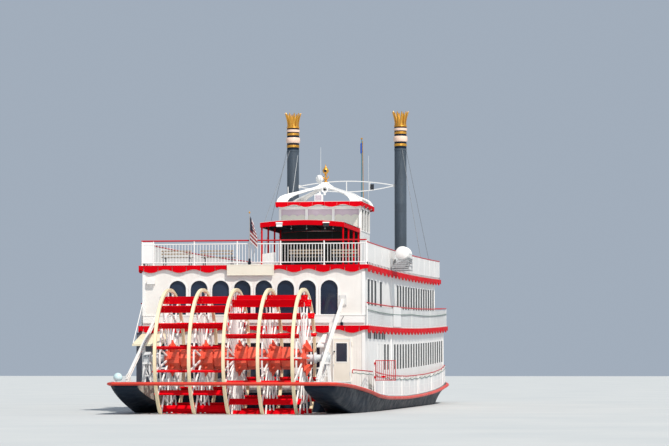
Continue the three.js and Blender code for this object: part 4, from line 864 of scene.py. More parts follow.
class Railing:
    """A railing's shape, on a plan path over a line of heights."""

    def __init__(self, path, line, finish):
        self.path, self.line, self.shape = path, line, Shape(finish)

    def paint(self, finish):
        self.shape.paint(finish)
        return self

    def bar(self, height, radius, sides=8):
        """A round rail that follows the path."""
        arc = [(radius * cos(a), height + radius * sin(a)) for a in turns(sides)]
        self.shape.sweep(self.path, lambda x, y: [(out, self.line(y) + rise) for out, rise in arc])
        return self

    def band(self, low, high, half):
        """A flat strip on edge that follows the path."""
        corners = ((-half, low), (half, low), (half, high), (-half, high))
        self.shape.sweep(self.path, lambda x, y: [(out, self.line(y) + rise) for out, rise in corners])
        return self

    def uprights(self, spacing, low, high, half):
        for x, y, dx, dy in polyline(self.path, spacing):
            base = Vector((x, y, self.line(y) + low))
            self.shape.beam(base, base + Vector((0, 0, high - low)), 2 * half, 2 * half, (dx, dy, 0))
        return self

    def rope(self, spacing, height, sag, outside):
        """A rope outside the railing, tied at an even spacing and hanging slack between."""
        path = [(x + copysign(outside, x), y) for x, y in self.path]
        places = polyline(path, spacing)
        points = []
        for (x0, y0, _, _), (x1, y1, _, _) in zip(places, places[1:]):
            for t in steps(0, 1, 6)[:-1]:
                x, y = x0 + (x1 - x0) * t, y0 + (y1 - y0) * t
                points.append((x, y, self.line(y) + height - sag * 4 * t * (1 - t)))
        points.append((*places[-1][:2], self.line(places[-1][1]) + height))
        self.paint(ROPE).shape.tube(points, 0.018, 5)
        return self


def middle_railing():
    """Second deck: a red top rail over panels of woven wire, a slack rope, a solid plate at mid length."""
    rail = Railing(loop_path(0.12, 31.9), second_line, WHITE)
    rail.uprights(8.4, 0.0, 0.97, 0.02).uprights(0.6, 0.0, 0.07, 0.034)
    plate = [(y, second_line(y) + rise) for y, rise in ((8.9, 0.05), (11.6, 0.05), (11.6, 0.99), (8.9, 0.99))]
    for side in SIDES.values():
        rail.shape.prism("x", plate, (side * 5.075, side * 5.092))
    rail.paint(PIPE_RED).bar(1.0, 0.03)
    rail.paint(GREY).bar(0.9, 0.014, 6).bar(0.06, 0.014, 6)
    for height in steps(0.13, 0.83, 10):
        rail.bar(height, 0.007, 4)
    rail.uprights(0.08, 0.06, 0.9, 0.006).rope(16, 0.7, 0.07, 0.03)
    rail.shape.piece("middle_railing", "rail_grey", ["middle_rail"])


def top_wall():
    """Third deck: a plated bulwark with battens, dark blocks of painted shade in the drain slots along its
    foot, and a capping.
    """
    wall = Railing(loop_path(0.15, 28.45), third_line, SIDE_SIDING)
    wall.band(0.0, 0.98, 0.016)
    wall.paint(WHITE).band(0.12, 0.16, 0.02).uprights(2.4, 0.05, 0.97, 0.022)
    # The drain slots are dark blocks: painted shade in the holes
    wall.paint(DARK).uprights(0.5, 0.02, 0.12, 0.03)
    wall.paint(PIPE_RED).bar(1.0, 0.033)
    wall.shape.piece("top_wall", instead=["top_bulwark"])


def lower_railing(name, path, nodes, plates=()):
    """Main deck: pale plates between broad posts, with a thin red rail and a slack rope over them."""
    rail = Railing(path, main_line, PANEL)
    rail.band(0.0, 0.8, 0.014)
    rail.paint(WHITE).band(0.0, 0.06, 0.02).band(0.4, 0.43, 0.02).band(0.76, 0.8, 0.022)
    rail.uprights(2.1, 0.0, 0.92, 0.02)
    start = path[0][0]
    for y in plates:
        inner, low = deck_half(y) - 0.055, main_line(y)
        span = (copysign(inner, start), copysign(inner + 0.03, start))
        rail.shape.box(span, about(y, 0.14), (low + 0.005, low + 0.92))
    if plates:
        rail.shape.beam((start, 1.06, main_line(1) + 0.005), (start, 1.06, 2.3), 0.06, 0.06, (0, 1, 0))
    rail.paint(PIPE_RED).bar(0.93, 0.026).rope(2.1, 0.82, 0.06, 0.035)
    rail.shape.piece(name, "rail_grey", nodes)


def stern_railing():
    """Third deck aft: a red top pipe over a white one, close balusters and a solid panel to port."""
    y, foot, middle, top = 0.03, 6.58, 7.4, 7.55
    shape = Shape(PIPE_RED)
    shape.tube([(-5.05, y, top), (5.05, y, top)], 0.035, 12)
    shape.paint(WHITE)
    for z in (middle, foot):
        shape.tube([(-5.05, y, z), (5.05, y, z)], 0.024, 10)
    for x in steps(-4.43, 4.95, 69):
        shape.tube([(x, y, foot), (x, y, middle)], 0.015, 6)
    for x in (-5.02, -4.5, -2.66, -0.72, 1.22, 3.16, 5.02):
        shape.tube([(x, y, 6.465), (x, y, top)], 0.03, 10)
        shape.turned([(0, 6.464), (0.06, 6.464), (0.06, 6.48), (0.03, 6.5)], 12, (x, y, 0))
    shape.box((-5.0, -4.52), about(y, 0.012), (foot, 7.5))
    shape.piece("stern_railing", "rail_red", ["stern_rail"])


middle_railing()
top_wall()
side_path = [(deck_half(y) - 0.07, y) for y in [1.03, *(y for y in STATIONS if 1.1 < y < 31.5), 31.58]]
bow_path = [(deck_half(y) - 0.07, y) for y in (31.6, 34.6, 36.6, 38)] + [(0.88, 38.53)]
for name, side in SIDES.items():
    lower_railing(f"lower_railing_{name}", [(side * x, y) for x, y in side_path], [f"lower_bulwark_{name}"],
                  (3.8, 10.3, 16.7, 22.7, 29.2))
lower_railing("bow_railing", round_boat(bow_path), ["bow_rail"])
stern_railing()


# Chimneys with painted bands, gold crowns, the lens-shaped spreader and the stays
STACK_X, STACK_Y = 3, 27.9
STACK_SKIN = 0.334
LEAVES = 10


def chimney(name, side):
    x = side * STACK_X
    foot = third_line(STACK_Y + 0.4) + 0.004
    shape = Shape(STACK)

    def bands(finish, *profiles):
        shape.paint(finish)
        for profile in profiles:
            shape.turned(profile, 64, (x, STACK_Y, 0))

    bands(STACK, [(0.33, 14.02), (0.33, 11.0), (0.333, 10.98), (0.333, 10.92), (0.33, 10.9),
                  (0.33, foot + 0.06), (0.39, foot + 0.055), (0.39, foot), (0, foot)])
    for a in turns(12):
        bolt = (x + 0.36 * cos(a), STACK_Y + 0.36 * sin(a), foot + 0.05)
        shape.turned([(0.016, 0), (0.016, 0.028), (0, 0.03)], 6, bolt)
    bands(BLACK, [(STACK_SKIN, 14.01), (STACK_SKIN, 14.98)])
    bands(CREAM_BAND,
          [(STACK_SKIN, 14.37), (0.37, 14.385), (0.386, 14.42), (0.39, 14.53), (0.386, 14.64), (0.37, 14.675),
           (STACK_SKIN, 14.69)],
          [(STACK_SKIN, 14.985), (0.365, 14.99), (0.368, 15.06), (0.365, 15.12), (STACK_SKIN, 15.13)])
    bands(GOLD, *([(STACK_SKIN, low), (0.35, low + 0.02), (0.352, (low + high) / 2), (0.35, high - 0.02),
                   (STACK_SKIN, high)] for low, high in ((14.13, 14.27), (14.8, 14.93))))
    bands(BLACK, [(STACK_SKIN, 15.12), (0.336, 15.19), (0.285, 15.19), (0.28, 14.72), (0, 14.72)])
    shape.piece(f"chimney_{name}", "stack_grey", [f"stack_{name}"])


def crown(name, side):
    """Tall pointed leaves that stand out from a beaded ring round the chimney's mouth."""
    shape = Shape(GOLD)
    # Columns: share of the leaf's height, radius, share of the pitch that its half-width takes
    profile = ((0.0, 0.345, 1.0), (0.08, 0.33, 0.92), (0.18, 0.318, 0.7), (0.3, 0.315, 0.6),
               (0.45, 0.33, 0.58), (0.6, 0.355, 0.56), (0.74, 0.385, 0.5), (0.88, 0.415, 0.34),
               (0.97, 0.43, 0.14), (1.0, 0.432, 0.03))
    outer = [(0.0, u) for u in (-1, -0.5, 0, 0.5, 1)]
    section = outer + [(-0.02, u) for _, u in reversed(outer)]
    for middle in turns(LEAVES):
        rings = []
        for t, radius, share in profile:
            ring = []
            for layer, u in section:
                a = middle + u * share * pi / LEAVES
                r = radius + layer + 0.02 * (1 - u * u) * (0.3 + t)
                ring.append((side * STACK_X + r * cos(a), STACK_Y + r * sin(a), 15.202 + 0.845 * t))
            rings.append(ring)
        shape.loft(rings)
    bead = [(0.345 + 0.022 * cos(a), 15.235 + 0.028 * sin(a)) for a in turns(8)]
    shape.turned(bead, 64, (side * STACK_X, STACK_Y, 0), closed=True)
    shape.piece(f"crown_leaves_{name}", "gold", [f"crown_{name}"])


def spreader():
    """Two bowed bars between the chimneys with uprights between, and a box by one of them."""
    shape = Shape(WHITE)
    end = STACK_X - 0.31

    def bowed(x, rise):
        return (x, STACK_Y, 11.97 + rise * (1 - (x / end) ** 2))

    for rise in (0.27, -0.32):
        points = [bowed(x, rise) for x in steps(-end, end, 32)]
        for a, b in zip(points, points[1:]):
            shape.beam(a, b, 0.06, 0.05)
    for x in (-1.3, 0, 1.3):
        shape.beam(bowed(x, -0.32), bowed(x, 0.27), 0.05, 0.05, (0, 1, 0))
    for side in SIDES.values():
        shape.box((side * (end - 0.1), side * (end - 0.005)), about(STACK_Y, 0.05), (11.88, 12.06))
    shape.paint(DARK).box((1.32, 1.52), about(STACK_Y, 0.04), (11.76, 12.06))
    shape.piece("spreader_truss", instead=["stack_spreader"])


def stays(name, side):
    """Wires from a collar under the chimney's bands to screws on the deck."""
    shape = Shape(STACK)
    collar = [(STACK_SKIN, 13.9), (0.345, 13.9), (0.345, 13.98), (STACK_SKIN, 13.98)]
    shape.turned(collar, 64, (side * STACK_X, STACK_Y, 0))
    shape.paint(WIRE)
    for y in (23.2, 27.2):
        lean = Vector((4.85 - STACK_X, y - STACK_Y, 0)).normalized()
        head = Vector((STACK_X, STACK_Y, 13.94)) + lean * 0.345
        foot = Vector((4.85, y, third_line(y) + 0.02))
        near = foot + (head - foot).normalized() * 0.55
        for a, b, radius in ((head, near, 0.011), (near, foot, 0.02)):
            shape.tube([(side * a.x, a.y, a.z), (side * b.x, b.y, b.z)], radius)
        centre = (side * 4.85, y, third_line(y) + 0.003)
        shape.turned([(0.05, 0), (0.05, 0.03), (0.015, 0.05), (0, 0.05)], 12, centre)
    shape.piece(f"stay_wires_{name}", "wire_dark", [f"stays_{name}"])


for name, side in SIDES.items():
    chimney(name, side)
    crown(name, side)
    stays(name, side)
spreader()


def canopy():
    """A cambered roof with a red fascia on red posts, beams and bulbs beneath, and two floodlights aft."""
    half, aft, fore = 2.1, 13.0, 18.5
    xs = steps(-half, half, 24)
    shape = Shape(RED)

    def camber(x):
        return 9.11 + 0.12 * (1 - (x / half) ** 2)

    def fascia(y0, y1, low, high):
        shape.loft([[(x, y0, camber(x) - low), (x, y1, camber(x) - low), (x, y1, camber(x) - high),
                     (x, y0, camber(x) - high)] for x in xs])

    def vault(places, high, low):
        shape.loft([[(x, y, camber(x) - high) for x in xs] + [(x, y, camber(x) - low) for x in reversed(xs)]
                    for y in places])

    for y in (aft, fore - 0.045):
        fascia(y, y + 0.045, 0.25, 0.01)
    for x in (-half, half - 0.045):
        shape.box((x, x + 0.045), (aft + 0.045, fore - 0.045), (8.86, 9.1))
    for y in (13.12, 14.9, 16.7, 18.4):
        for x in (-2.03, 2.03):
            foot = third_line(y) + 0.004
            shape.tube([(x, y, foot), (x, y, 9.05)], 0.045, 14)
            shape.turned([(0.09, foot), (0.09, foot + 0.02), (0.05, foot + 0.05)], 16, (x, y, 0))
    shape.paint(WHITE)
    vault(steps(aft + 0.01, fore - 0.01, 12), 0, 0.03)
    # The underside is painted shade: dark inner faces of the fascia, a dark ceiling sheet and dark beams
    shape.paint(DARK)
    fascia(fore - 0.06, fore - 0.046, 0.245, 0.03)
    for x in (-half + 0.046, half - 0.06):
        shape.box((x, x + 0.014), (aft + 0.046, fore - 0.061), (8.865, 9.08))
    fascia(aft + 0.046, fore - 0.046, 0.036, 0.031)
    for y in steps(aft + 0.4, fore - 0.4, 8):
        vault(about(y, 0.025), 0.032, 0.1)
    for x in (-1.4, 0, 1.4):
        shape.box(about(x, 0.03), (aft + 0.05, fore - 0.05), (camber(x) - 0.16, camber(x) - 0.09))
    lamp = [(aft - 0.16, 8.89), (aft - 0.002, 8.89), (aft - 0.002, 9.06), (aft - 0.12, 9.07)]
    hood = [(aft - 0.17, 9.055), (aft - 0.002, 9.06), (aft - 0.002, 9.12), (aft - 0.14, 9.11)]
    for x, finish in ((-1.12, WHITE), (1.22, DARK)):
        shape.paint(finish).prism("x", lamp, about(x, 0.14))
        shape.paint(WHITE).prism("x", hood, about(x, 0.16))
    for x in (-0.98, -0.2, 0.74, 1.15):
        shape.tube([(x, 15.6, camber(x) - 0.1), (x, 15.6, 8.97)], 0.008, 6)
        shape.turned(ball(0.038, 8.94, 6), 10, (x, 15.6, 0))
    shape.piece("canopy_roof", "valance_red", ["canopy"])


canopy()


# Pilothouse roof: a wavy eave, and an ogee dome on a square plan with an arch in each side
EAVE_HALF, EAVE_LONG, EAVE_TOP, DOME_Y = 2.24, 2.4, 10.475, 20.5
EAVE_THICK = 0.036
# Columns: height, half-width of the dome, half-width of its arch
DOME = [
    (10.48, 2.16, 1.66), (10.6, 2.12, 1.6), (10.73, 2.02, 1.5), (10.83, 1.84, 1.37), (10.9, 1.66, 1.26),
    (10.97, 1.45, 1.11), (11.06, 1.17, 0.9), (11.15, 0.92, 0.68), (11.22, 0.72, 0.48), (11.28, 0.58, 0.26),
    (11.32, 0.49, 0.0), (11.38, 0.37, 0.0), (11.5, 0.2, 0.0), (11.6, 0.11, 0.0),
]
ARCH_TOP = 11.33
RATIO = EAVE_LONG / EAVE_HALF
SHELL = 0.07


def on_dome(turn, out, along, z):
    """A point of one of the dome's four sides: out from its middle, along the side and up."""
    x, y = ((along, -out), (out, along), (-along, out), (-out, -along))[turn]
    return (x, DOME_Y + y, z)


def dome_side(shape, turn, stretch_out, stretch_along):
    """One side of the dome in two halves, each from the corner hip to the arch; a bead along the arch."""
    for side in SIDES.values():
        rings = []
        for t in steps(0, 1, 8):
            outer, inner = [], []
            for z, half, arch_half in DOME:
                edge = half * stretch_along
                lateral = side * (edge + (min(arch_half * stretch_along, edge) - edge) * t)
                shrink = max(0.0, half - SHELL) / half
                outer.append(on_dome(turn, half * stretch_out, lateral, z))
                across = lateral * (shrink if t < 0.01 else 1)
                inner.append(on_dome(turn, half * stretch_out * shrink, across, z - 0.02))
            rings.append(outer + inner[::-1])
        shape.loft(rings)
    edge = [(half * stretch_out, arch_half * stretch_along, z) for z, half, arch_half in DOME if z < ARCH_TOP]
    edge = [(out, -along, z) for out, along, z in edge] + edge[-2::-1]
    shape.tube([on_dome(turn, *point) for point in edge], 0.026)


def pilothouse_roof():
    shape = Shape(WHITE)
    for turn in range(4):
        dome_side(shape, turn, *((1, RATIO) if turn % 2 else (RATIO, 1)))
    for sx in SIDES.values():
        for sy in SIDES.values():
            shape.tube([(sx * half, DOME_Y + sy * half * RATIO, z + 0.012) for z, half, _ in DOME], 0.03)
    cap = [(0.0, 11.63), (0.12, 11.63), (0.13, 11.6), (0.12, 11.52), (0.17, 11.44)]
    shape.turned(cap, 24, (0, DOME_Y, 0))
    for margin, height in ((0.02, (10.29, 10.46)), (0.005, (10.46, 10.48))):
        shape.box(about(0, EAVE_HALF - margin), about(DOME_Y, EAVE_LONG - margin), height)
    shape.paint(RED)
    for axis, middle, long, middle_face, face in (("y", 0, EAVE_HALF, DOME_Y, EAVE_LONG),
                                                  ("x", DOME_Y, EAVE_LONG, 0, EAVE_HALF)):
        for start in (middle_face - face, middle_face + face - EAVE_THICK):
            wavy_panels(shape, axis, middle - long, middle + long, 7, (start, start + EAVE_THICK),
                        lambda u: EAVE_TOP, 0.22, 0.06, 0.012)
    shape.piece("pilothouse_dome", instead=["pilothouse_roof"], sharp=28)


def pilothouse_windows():
    """Three lights in each wall: mauve glass over short curtains aft, its tint the eave's painted shadow,
    dark glass along the sides, and a dark glass screen of painted shade under the canopy.
    """
    shape = Shape(WHITE)
    across = [(-2.04 + i * 1.3933, -0.7467 + i * 1.3933) for i in range(3)]
    along = [(18.7 + i * 1.0333, 19.6333 + i * 1.0333) for i in range(3)]
    faces = {"y": ((18.575, 18.61), (21.79, 21.825)), "x": ((2.13, 2.165), (-2.165, -2.13))}
    for axis, spans in (("y", across), ("x", along)):
        for a, b in spans:
            for face in faces[axis]:
                shape.edging(axis, rectangle((a + b) / 2, (b - a) / 2, 9.0, 10.12), -0.015, 0.035, face)
    # The mauve of this glass over the curtains is the eave's painted shadow
    shape.paint(SHADED_MAUVE_GLASS)
    for y in (18.675, 21.71):
        shape.box((-2.06, 2.06), (y, y + 0.015), (8.98, 10.14))
    shape.paint(SIDE_GLASS)
    for side in SIDES.values():
        shape.box((side * 2.05, side * 2.065), (18.695, 21.705), (8.98, 10.14))
    # A dark glass sheet on the wall's foot under the canopy is painted shade
    shape.box((-2.08, 2.08), (18.575, 18.599), (7.0, 8.96))
    shape.paint(CURTAIN)
    for a, b in across:
        top = [(x, 9.75 + 0.09 * abs(sin(3 * pi * (x - a) / (b - a)))) for x in steps(a, b, 42)]
        shape.prism("y", [(a, 9.0), (b, 9.0)] + top[::-1], (18.655, 18.668))
    # Dark bars on that painted shade
    shape.paint(DARK)
    for x in steps(-1.95, 1.95, 3):
        shape.box(about(x, 0.03), (18.568, 18.576), (7.0, 8.96))
    shape.piece("pilothouse_windows")


def roof_fittings():
    """Round the dome: a white ring, a radome on its post, a horn box, and whip aerials."""
    shape = Shape(WHITE)

    def stand_up(a, b, c):
        return (0.09 + a, 19.6 + c, 11.19 + b)

    ring = [(0.15 + 0.035 * cos(a), 0.03 * sin(a)) for a in turns(10)]
    shape.turned(ring, 32, closed=True).lay(32 * len(ring), stand_up)
    shape.box((0.04, 0.14), (19.57, 19.63), (10.9, 11.04))
    shape.turned(ball(0.21, 11.95, 14), 28, (-0.6, 22.2, 0))
    shape.tube([(-0.6, 22.2, 10.47), (-0.6, 22.2, 11.76)], 0.05, 12)
    shape.box((-0.35, 0.06), (19.0, 19.3), (10.56, 10.9))
    shape.turned([(0.1, 10.9), (0.12, 10.92), (0.1, 10.96), (0, 10.98)], 16, (-0.15, 19.15, 0))
    shape.tube([(-1.93, 20.2, 10.7), (-1.95, 20.2, 11.4)], 0.024)
    shape.paint(GREY)
    shape.tube([(-0.47, 21.8, 10.47), (-0.47, 21.8, 13.6)], [0.022, 0.01])
    shape.tube([(-1.78, 20.5, 10.85), (-1.48, 20.5, 13.08)], [0.016, 0.009])
    shape.tube([(1.77, 24, third_line(24)), (1.77, 24, 13.3)], [0.02, 0.01])
    shape.paint(SHADED_MAUVE_GLASS)
    for z in steps(10.6, 10.82, 4):
        shape.box((-0.31, 0.02), (18.985, 19.0), (z, z + 0.03))
    shape.paint(DARK)
    shape.turned([(0, -0.01), (0.07, -0.01), (0.07, 0.01), (0, 0.01)], 24).lay(24 * 4, stand_up)
    shape.piece("roof_fittings")


def finial():
    """Gold: a lily of four leaves at the foot, an onion with dark ovals of painted shade in its piercing, and
    a spike.
    """
    shape = Shape(GOLD)
    shape.turned([(0, 11.642), (0.12, 11.645), (0.1, 11.68), (0.05, 11.72), (0.035, 11.84), (0.035, 11.97),
                  (0.075, 11.99), (0.075, 12.02), (0.04, 12.04), (0.06, 12.07), (0.13, 12.13), (0.17, 12.21),
                  (0.165, 12.27), (0.11, 12.36), (0.05, 12.43), (0.03, 12.47), (0.012, 12.57), (0, 12.58)],
                 40, (0, DOME_Y, 0))
    # Columns: distance from the axis, height, radius of the leaf
    leaf = ((0.035, 11.72, 0.018), (0.05, 11.78, 0.026), (0.09, 11.84, 0.032), (0.135, 11.88, 0.03),
            (0.15, 11.92, 0.024), (0.13, 11.955, 0.018), (0.1, 11.95, 0.008))
    for angle in turns(4):
        path = [(r * cos(angle), DOME_Y + r * sin(angle), z) for r, z, _ in leaf]
        shape.tube(path, [row[2] for row in leaf])
    # A dark oval through the onion is painted shade in its piercing
    shape.paint(DARK)
    eye = [(0, -0.172), (0.07, -0.172), (0.078, -0.16), (0.078, 0.16), (0.07, 0.172), (0, 0.172)]
    shape.turned(eye, 20).lay(20 * len(eye), lambda a, b, c: (a, DOME_Y + c, 12.22 + b))
    shape.piece("finial_spike", "gold", ["finial"])


pilothouse_roof()
pilothouse_windows()
roof_fittings()
finial()


# Struts, shades and fittings on the quarters
STRUT_X, STRUT_FOOT, STRUT_HEAD = 4, (-7.05, 1.42), (-0.01, 4.92)


def strut(name, side):
    """A welded box beam with flanges, a bolted plate on the wall, and a gusset and base plate at its foot."""
    x = side * STRUT_X
    foot, head = Vector((x, *STRUT_FOOT)), Vector((x, *STRUT_HEAD))
    along = (head - foot).normalized()
    up = Vector((0, -along.z, along.y))
    shape = Shape(STRUT_PAINT)
    for lift, width, depth in ((0, 0.07, 0.11), (-0.06, 0.12, 0.016), (0.06, 0.12, 0.016)):
        shape.beam(foot + up * lift, head + up * lift - along * 0.06, width, depth, up)
    for distance in steps(1.3, 6.6, 4):
        shape.beam(foot + along * (distance - 0.01), foot + along * (distance + 0.01), 0.116, 0.106, up)
    shape.box(about(x, 0.17), (-0.045, -0.006), (4.66, 5.14))
    shape.prism("x", [(-7.05, 1.352), (-6.3, 1.34), (-6.6, 1.756), (-7.05, 1.63)], about(x, 0.03))
    shape.box(about(x, 0.18), (-7.12, -6.28), (main_line(-6.7) - 0.03, main_line(-7.12) + 0.012))
    shape.paint(GREY)
    for bolt_x in about(x, 0.13):
        for z in (4.72, 5.08):
            shape.turned([(0, 0), (0.022, 0), (0.022, 0.025), (0, 0.028)], 6)
            shape.lay(24, lambda a, b, c: (bolt_x + a, -0.046 - c, z + b))
        for y in (-7.0, -6.4):
            shape.turned([(0, 1.36), (0.022, 1.36), (0.022, 1.39), (0, 1.393)], 6, (bolt_x, y, 0))
    shape.piece(f"strut_beam_{name}", instead=[f"strut_{name}"])


def shade(name, finish, start, end, high, low):
    """A sloped plate with turned-down edges and ribs beneath."""
    shape = Shape(finish)
    aft, rib = -1.9, 0.019

    def top(y):
        return high + (low - high) * y / aft

    def slab(x, y, drop, depth):
        corners = ((y[0], drop), (y[1], drop), (y[1], drop + depth), (y[0], drop + depth))
        shape.prism("x", [(v, top(v) - below) for v, below in corners], x)

    slab((start, end), (aft, -0.004), 0, 0.02)
    for x in (start, end - 0.02):
        slab((x, x + 0.02), (aft, -0.01), rib, 0.06)
    slab((start + 0.02, end - 0.02), (aft, aft + 0.02), rib, 0.06)
    # The ribs beneath take the lining's dark paint as painted shade under the plate
    shape.paint(LINING_STAIN_AND_SHADE)
    for y in (-1.3, -0.7):
        slab((start + 0.021, end - 0.021), (y, y + 0.03), rib, 0.04)
    shape.paint(GREY)
    for x in steps(start + 0.06, end - 0.06, max(2, round((end - start) / 0.2))):
        for y in (-1.8, -0.1):
            shape.turned([(0.012, 0), (0.012, 0.008), (0, 0.01)], 6, (x, y, top(y)))
    shape.piece(f"{name}_plate", "wheel_cream", [name])


def quarter_fittings():
    """Rail and rope on the starboard quarter, a ram below the strut, and to port a rod and a dark screen of
    painted shade.
    """
    shape = Shape(PIPE_RED)
    rail = [(deck_half(y) - 0.15, y, 1.86 - 0.02 * (y + 3.3)) for y in steps(-3.3, 0.95, 9)]
    shape.tube(rail, 0.024)
    loop = ((-3.3, 1.86), (-3.38, 1.85), (-3.42, 1.79), (-3.38, 1.73), (-3.3, 1.72))
    shape.tube([(rail[0][0], y, z) for y, z in loop], 0.022)
    shape.paint(ROPE)
    shape.tube([(x + 0.03, y, z - 0.12 - 0.03 * abs(sin(2.2 * y))) for x, y, z in rail], 0.018, 6)
    shape.paint(WHITE)
    for x, y, z in rail[::3]:
        shape.tube([(x, y, main_line(y)), (x, y, z)], 0.014, 6)
    top, joint, heel = Vector((3.73, -1.95, 3.57)), Vector((3.68, -2.55, 2.62)), Vector((3.62, -3.3, 1.4))
    shape.tube([top, joint], 0.035, 12)
    shape.box((3.7, 3.92), (-1.98, -1.92), (3.5, 3.88))
    shape.box((3.52, 3.72), (-3.36, -3.24), (main_line(-3.3), 1.44))
    shape.paint(STEEL_AND_SHADE)
    shape.tube([joint, heel], 0.065, 14)
    shape.tube([joint - (heel - joint) * 0.02, joint + (heel - joint) * 0.05], 0.08, 14)
    shape.paint(WHITE)
    shape.tube([(-4.93, -0.02, 4.98), (-4.96, -1.88, 3.0)], 0.018)
    # A dark screen beyond the port corner of the wall is painted shade under the port shade
    shape.paint(STEEL_AND_SHADE).box((-5.25, -4.99), (0.0, 0.03), (main_line(0), 3.5))
    shape.paint(BLACK).box((3.9, 4.02), (-0.09, -0.05), (3.79, 3.93))
    shape.tube([(3.96, -0.07, 3.93), (3.93, -0.07, 4.0), (4.05, -0.07, 4.2)], 0.012, 6)
    shape.piece("quarter_fittings")


def globe_lamp():
    shape = Shape(WHITE)
    deck, centre = main_line(-7), (-4.38, -7.0, 0)
    shape.turned([(0.13, deck), (0.13, deck + 0.02), (0.07, deck + 0.04), (0, deck + 0.04)], 20, centre)
    shape.paint(GLOBE).turned(ball(0.19, deck + 0.2, 12, 0.3), 24, centre)
    shape.piece("globe_lamp")


for name, side in SIDES.items():
    strut(name, side)
shade("shade_port", SHADE_CREAM, -5, -3.7, 3.46, 2.97)
shade("shade_starboard", WHITE, 3.14, 3.52, 3.43, 2.9)
quarter_fittings()
globe_lamp()


def gate():
    """The boarding gate: round bars in a light frame, with a latch, hung on two barrels."""
    start, end, y, low, high = 5.3, 6.2, 1.0, 1.38, 2.28
    shape = Shape(PIPE_RED)
    # Columns: place of each upright bar, radius, distance from the foot and the head
    uprights = [(x, 0.018, 0) for x in (start + 0.018, end - 0.018)]
    uprights += [(start + 0.018 + i * 0.864 / 10, 0.0105, 0.02) for i in range(1, 10)]
    for x, radius, gap in uprights:
        shape.tube([(x, y, low + gap), (x, y, high - gap)], radius, 8 if gap else 10)
    for z, radius, sides in ((low + 0.018, 0.017, 10), (high - 0.018, 0.017, 10), (low + 0.16, 0.012, 8)):
        shape.tube([(start + 0.01, y, z), (end - 0.01, y, z)], radius, sides)
    for z in (low + 0.1, high - 0.2):
        barrel = ((0, 0), (0.026, 0), (0.028, 0.01), (0.028, 0.09), (0.026, 0.1), (0, 0.1))
        shape.turned([(r, z + rise) for r, rise in barrel], 16, (5.26, y, 0))
        shape.box((5.27, start + 0.02), about(y, 0.01), (z + 0.01, z + 0.09))
    shape.paint(RED).box((5.56, 5.74), about(y, 0.016), (low + 0.13, low + 0.21))
    shape.piece("gate_bars", "rail_red", ["boarding_gate"], "gate_leaf")


def raft(name, side):
    """A canister with a lapped seam and straps, lying in a slatted cradle outside the bulwark."""
    x, y, z = 5.62, 8.45, 7.3
    shape = Shape(WHITE)

    def lie_along(a, b, c):
        return (x + a, y + c, z + b)

    # Columns: radius, distance from the middle; from the end to the middle, with three ribs
    half = [(0.0, 0.72), (0.12, 0.715), (0.2, 0.69), (0.235, 0.665), (0.255, 0.66), (0.29, 0.64),
            (0.318, 0.6), (0.33, 0.55)]
    for u in (0.42, 0.28, 0.14):
        half += [(0.33, u + 0.02), (0.322, u + 0.01), (0.322, u - 0.01), (0.33, u - 0.02)]
    profile = half + [(0.33, 0.0)] + [(r, -u) for r, u in reversed(half)]
    shape.turned(profile, 48).lay(48 * len(profile), lie_along)
    for way in (-1, 1):
        shape.box((x + way * 0.322, x + way * 0.345), about(y, 0.56), about(z, 0.02))
    for u in (-0.35, 0.0, 0.35):
        strap = softened(u - 0.022, u + 0.022, 0.324, 0.339, 0.003)
        shape.turned(strap, 48, closed=True).lay(48 * len(strap), lie_along)
    shape.paint(CRADLE_GREY)
    inner, outer = 5.085, 5.96
    for end in about(y, 0.6):
        shape.box((inner, inner + 0.1), about(end, 0.05), (6.62, 7.07))
        shape.beam((inner + 0.05, end, 6.66), (outer - 0.04, end, 7.06), 0.07, 0.06)
        shape.beam((inner + 0.08, end, 6.53), (outer - 0.03, end, 6.53), 0.07, 0.05)
        shape.box((outer - 0.04, outer - 0.005), about(end, 0.02), (6.505, 7.09))
    length = about(y, 0.7)
    for share in steps(0.06, 0.97, 8):
        height = 6.66 + 0.42 * share
        shape.box(about(inner + (outer - inner) * share, 0.026), length, (height - 0.012, height + 0.024))
    for foot in (6.5, 6.69, 6.88):
        shape.box((outer - 0.05, outer), length, (foot, foot + 0.05))
    for end in about(y, 0.67):
        for t in steps(0, 1, 4):
            foot = 6.62 + 0.32 * t
            shape.box((5.14 + 0.25 * t, 5.76 + 0.18 * t), about(end, 0.015), (foot, foot + 0.06))
    shape.on_side(side).piece(f"raft_canister_{name}", "raft_grey", [f"raft_{name}"])


def deck_fittings():
    """Third deck aft: low slatted benches and a locker behind the rail, and a floodlight high on the wall."""
    shape = Shape(TAN)
    base, upright = third_line(0.9), (0, 1, 0)
    for start, end in ((-4.3, -2.9), (-2.5, -1.0), (1.5, 3.0), (3.4, 4.6)):
        shape.paint(TAN)
        for z in (6.96, 7.09):
            shape.box((start, end), (0.62, 0.65), (z, z + 0.07))
        for y in steps(0.68, 1.04, 3):
            shape.box((start, end), (y, y + 0.09), (6.84, 6.87))
        shape.paint(STEEL_AND_SHADE)
        for x in (start + 0.12, end - 0.12):
            shape.beam((x, 0.66, base), (x, 0.66, 7.14), 0.04, 0.04, upright)
            shape.box(about(x, 0.02), (0.68, 1.14), (6.8, 6.84))
            shape.beam((x, 1.1, base), (x, 1.1, 6.82), 0.04, 0.04, upright)
    shape.paint(WHITE)
    shape.prism("y", [(0.38, base), (0.9, base), (0.9, 7.03), (0.38, 6.95)], (0.2, 0.6))
    shape.box((-4.75, -4.4), (-0.16, -0.01), (5.64, 5.84))
    shape.box((-4.62, -4.53), (-0.02, -0.001), (5.5, 5.7))
    shape.piece("deck_fittings")


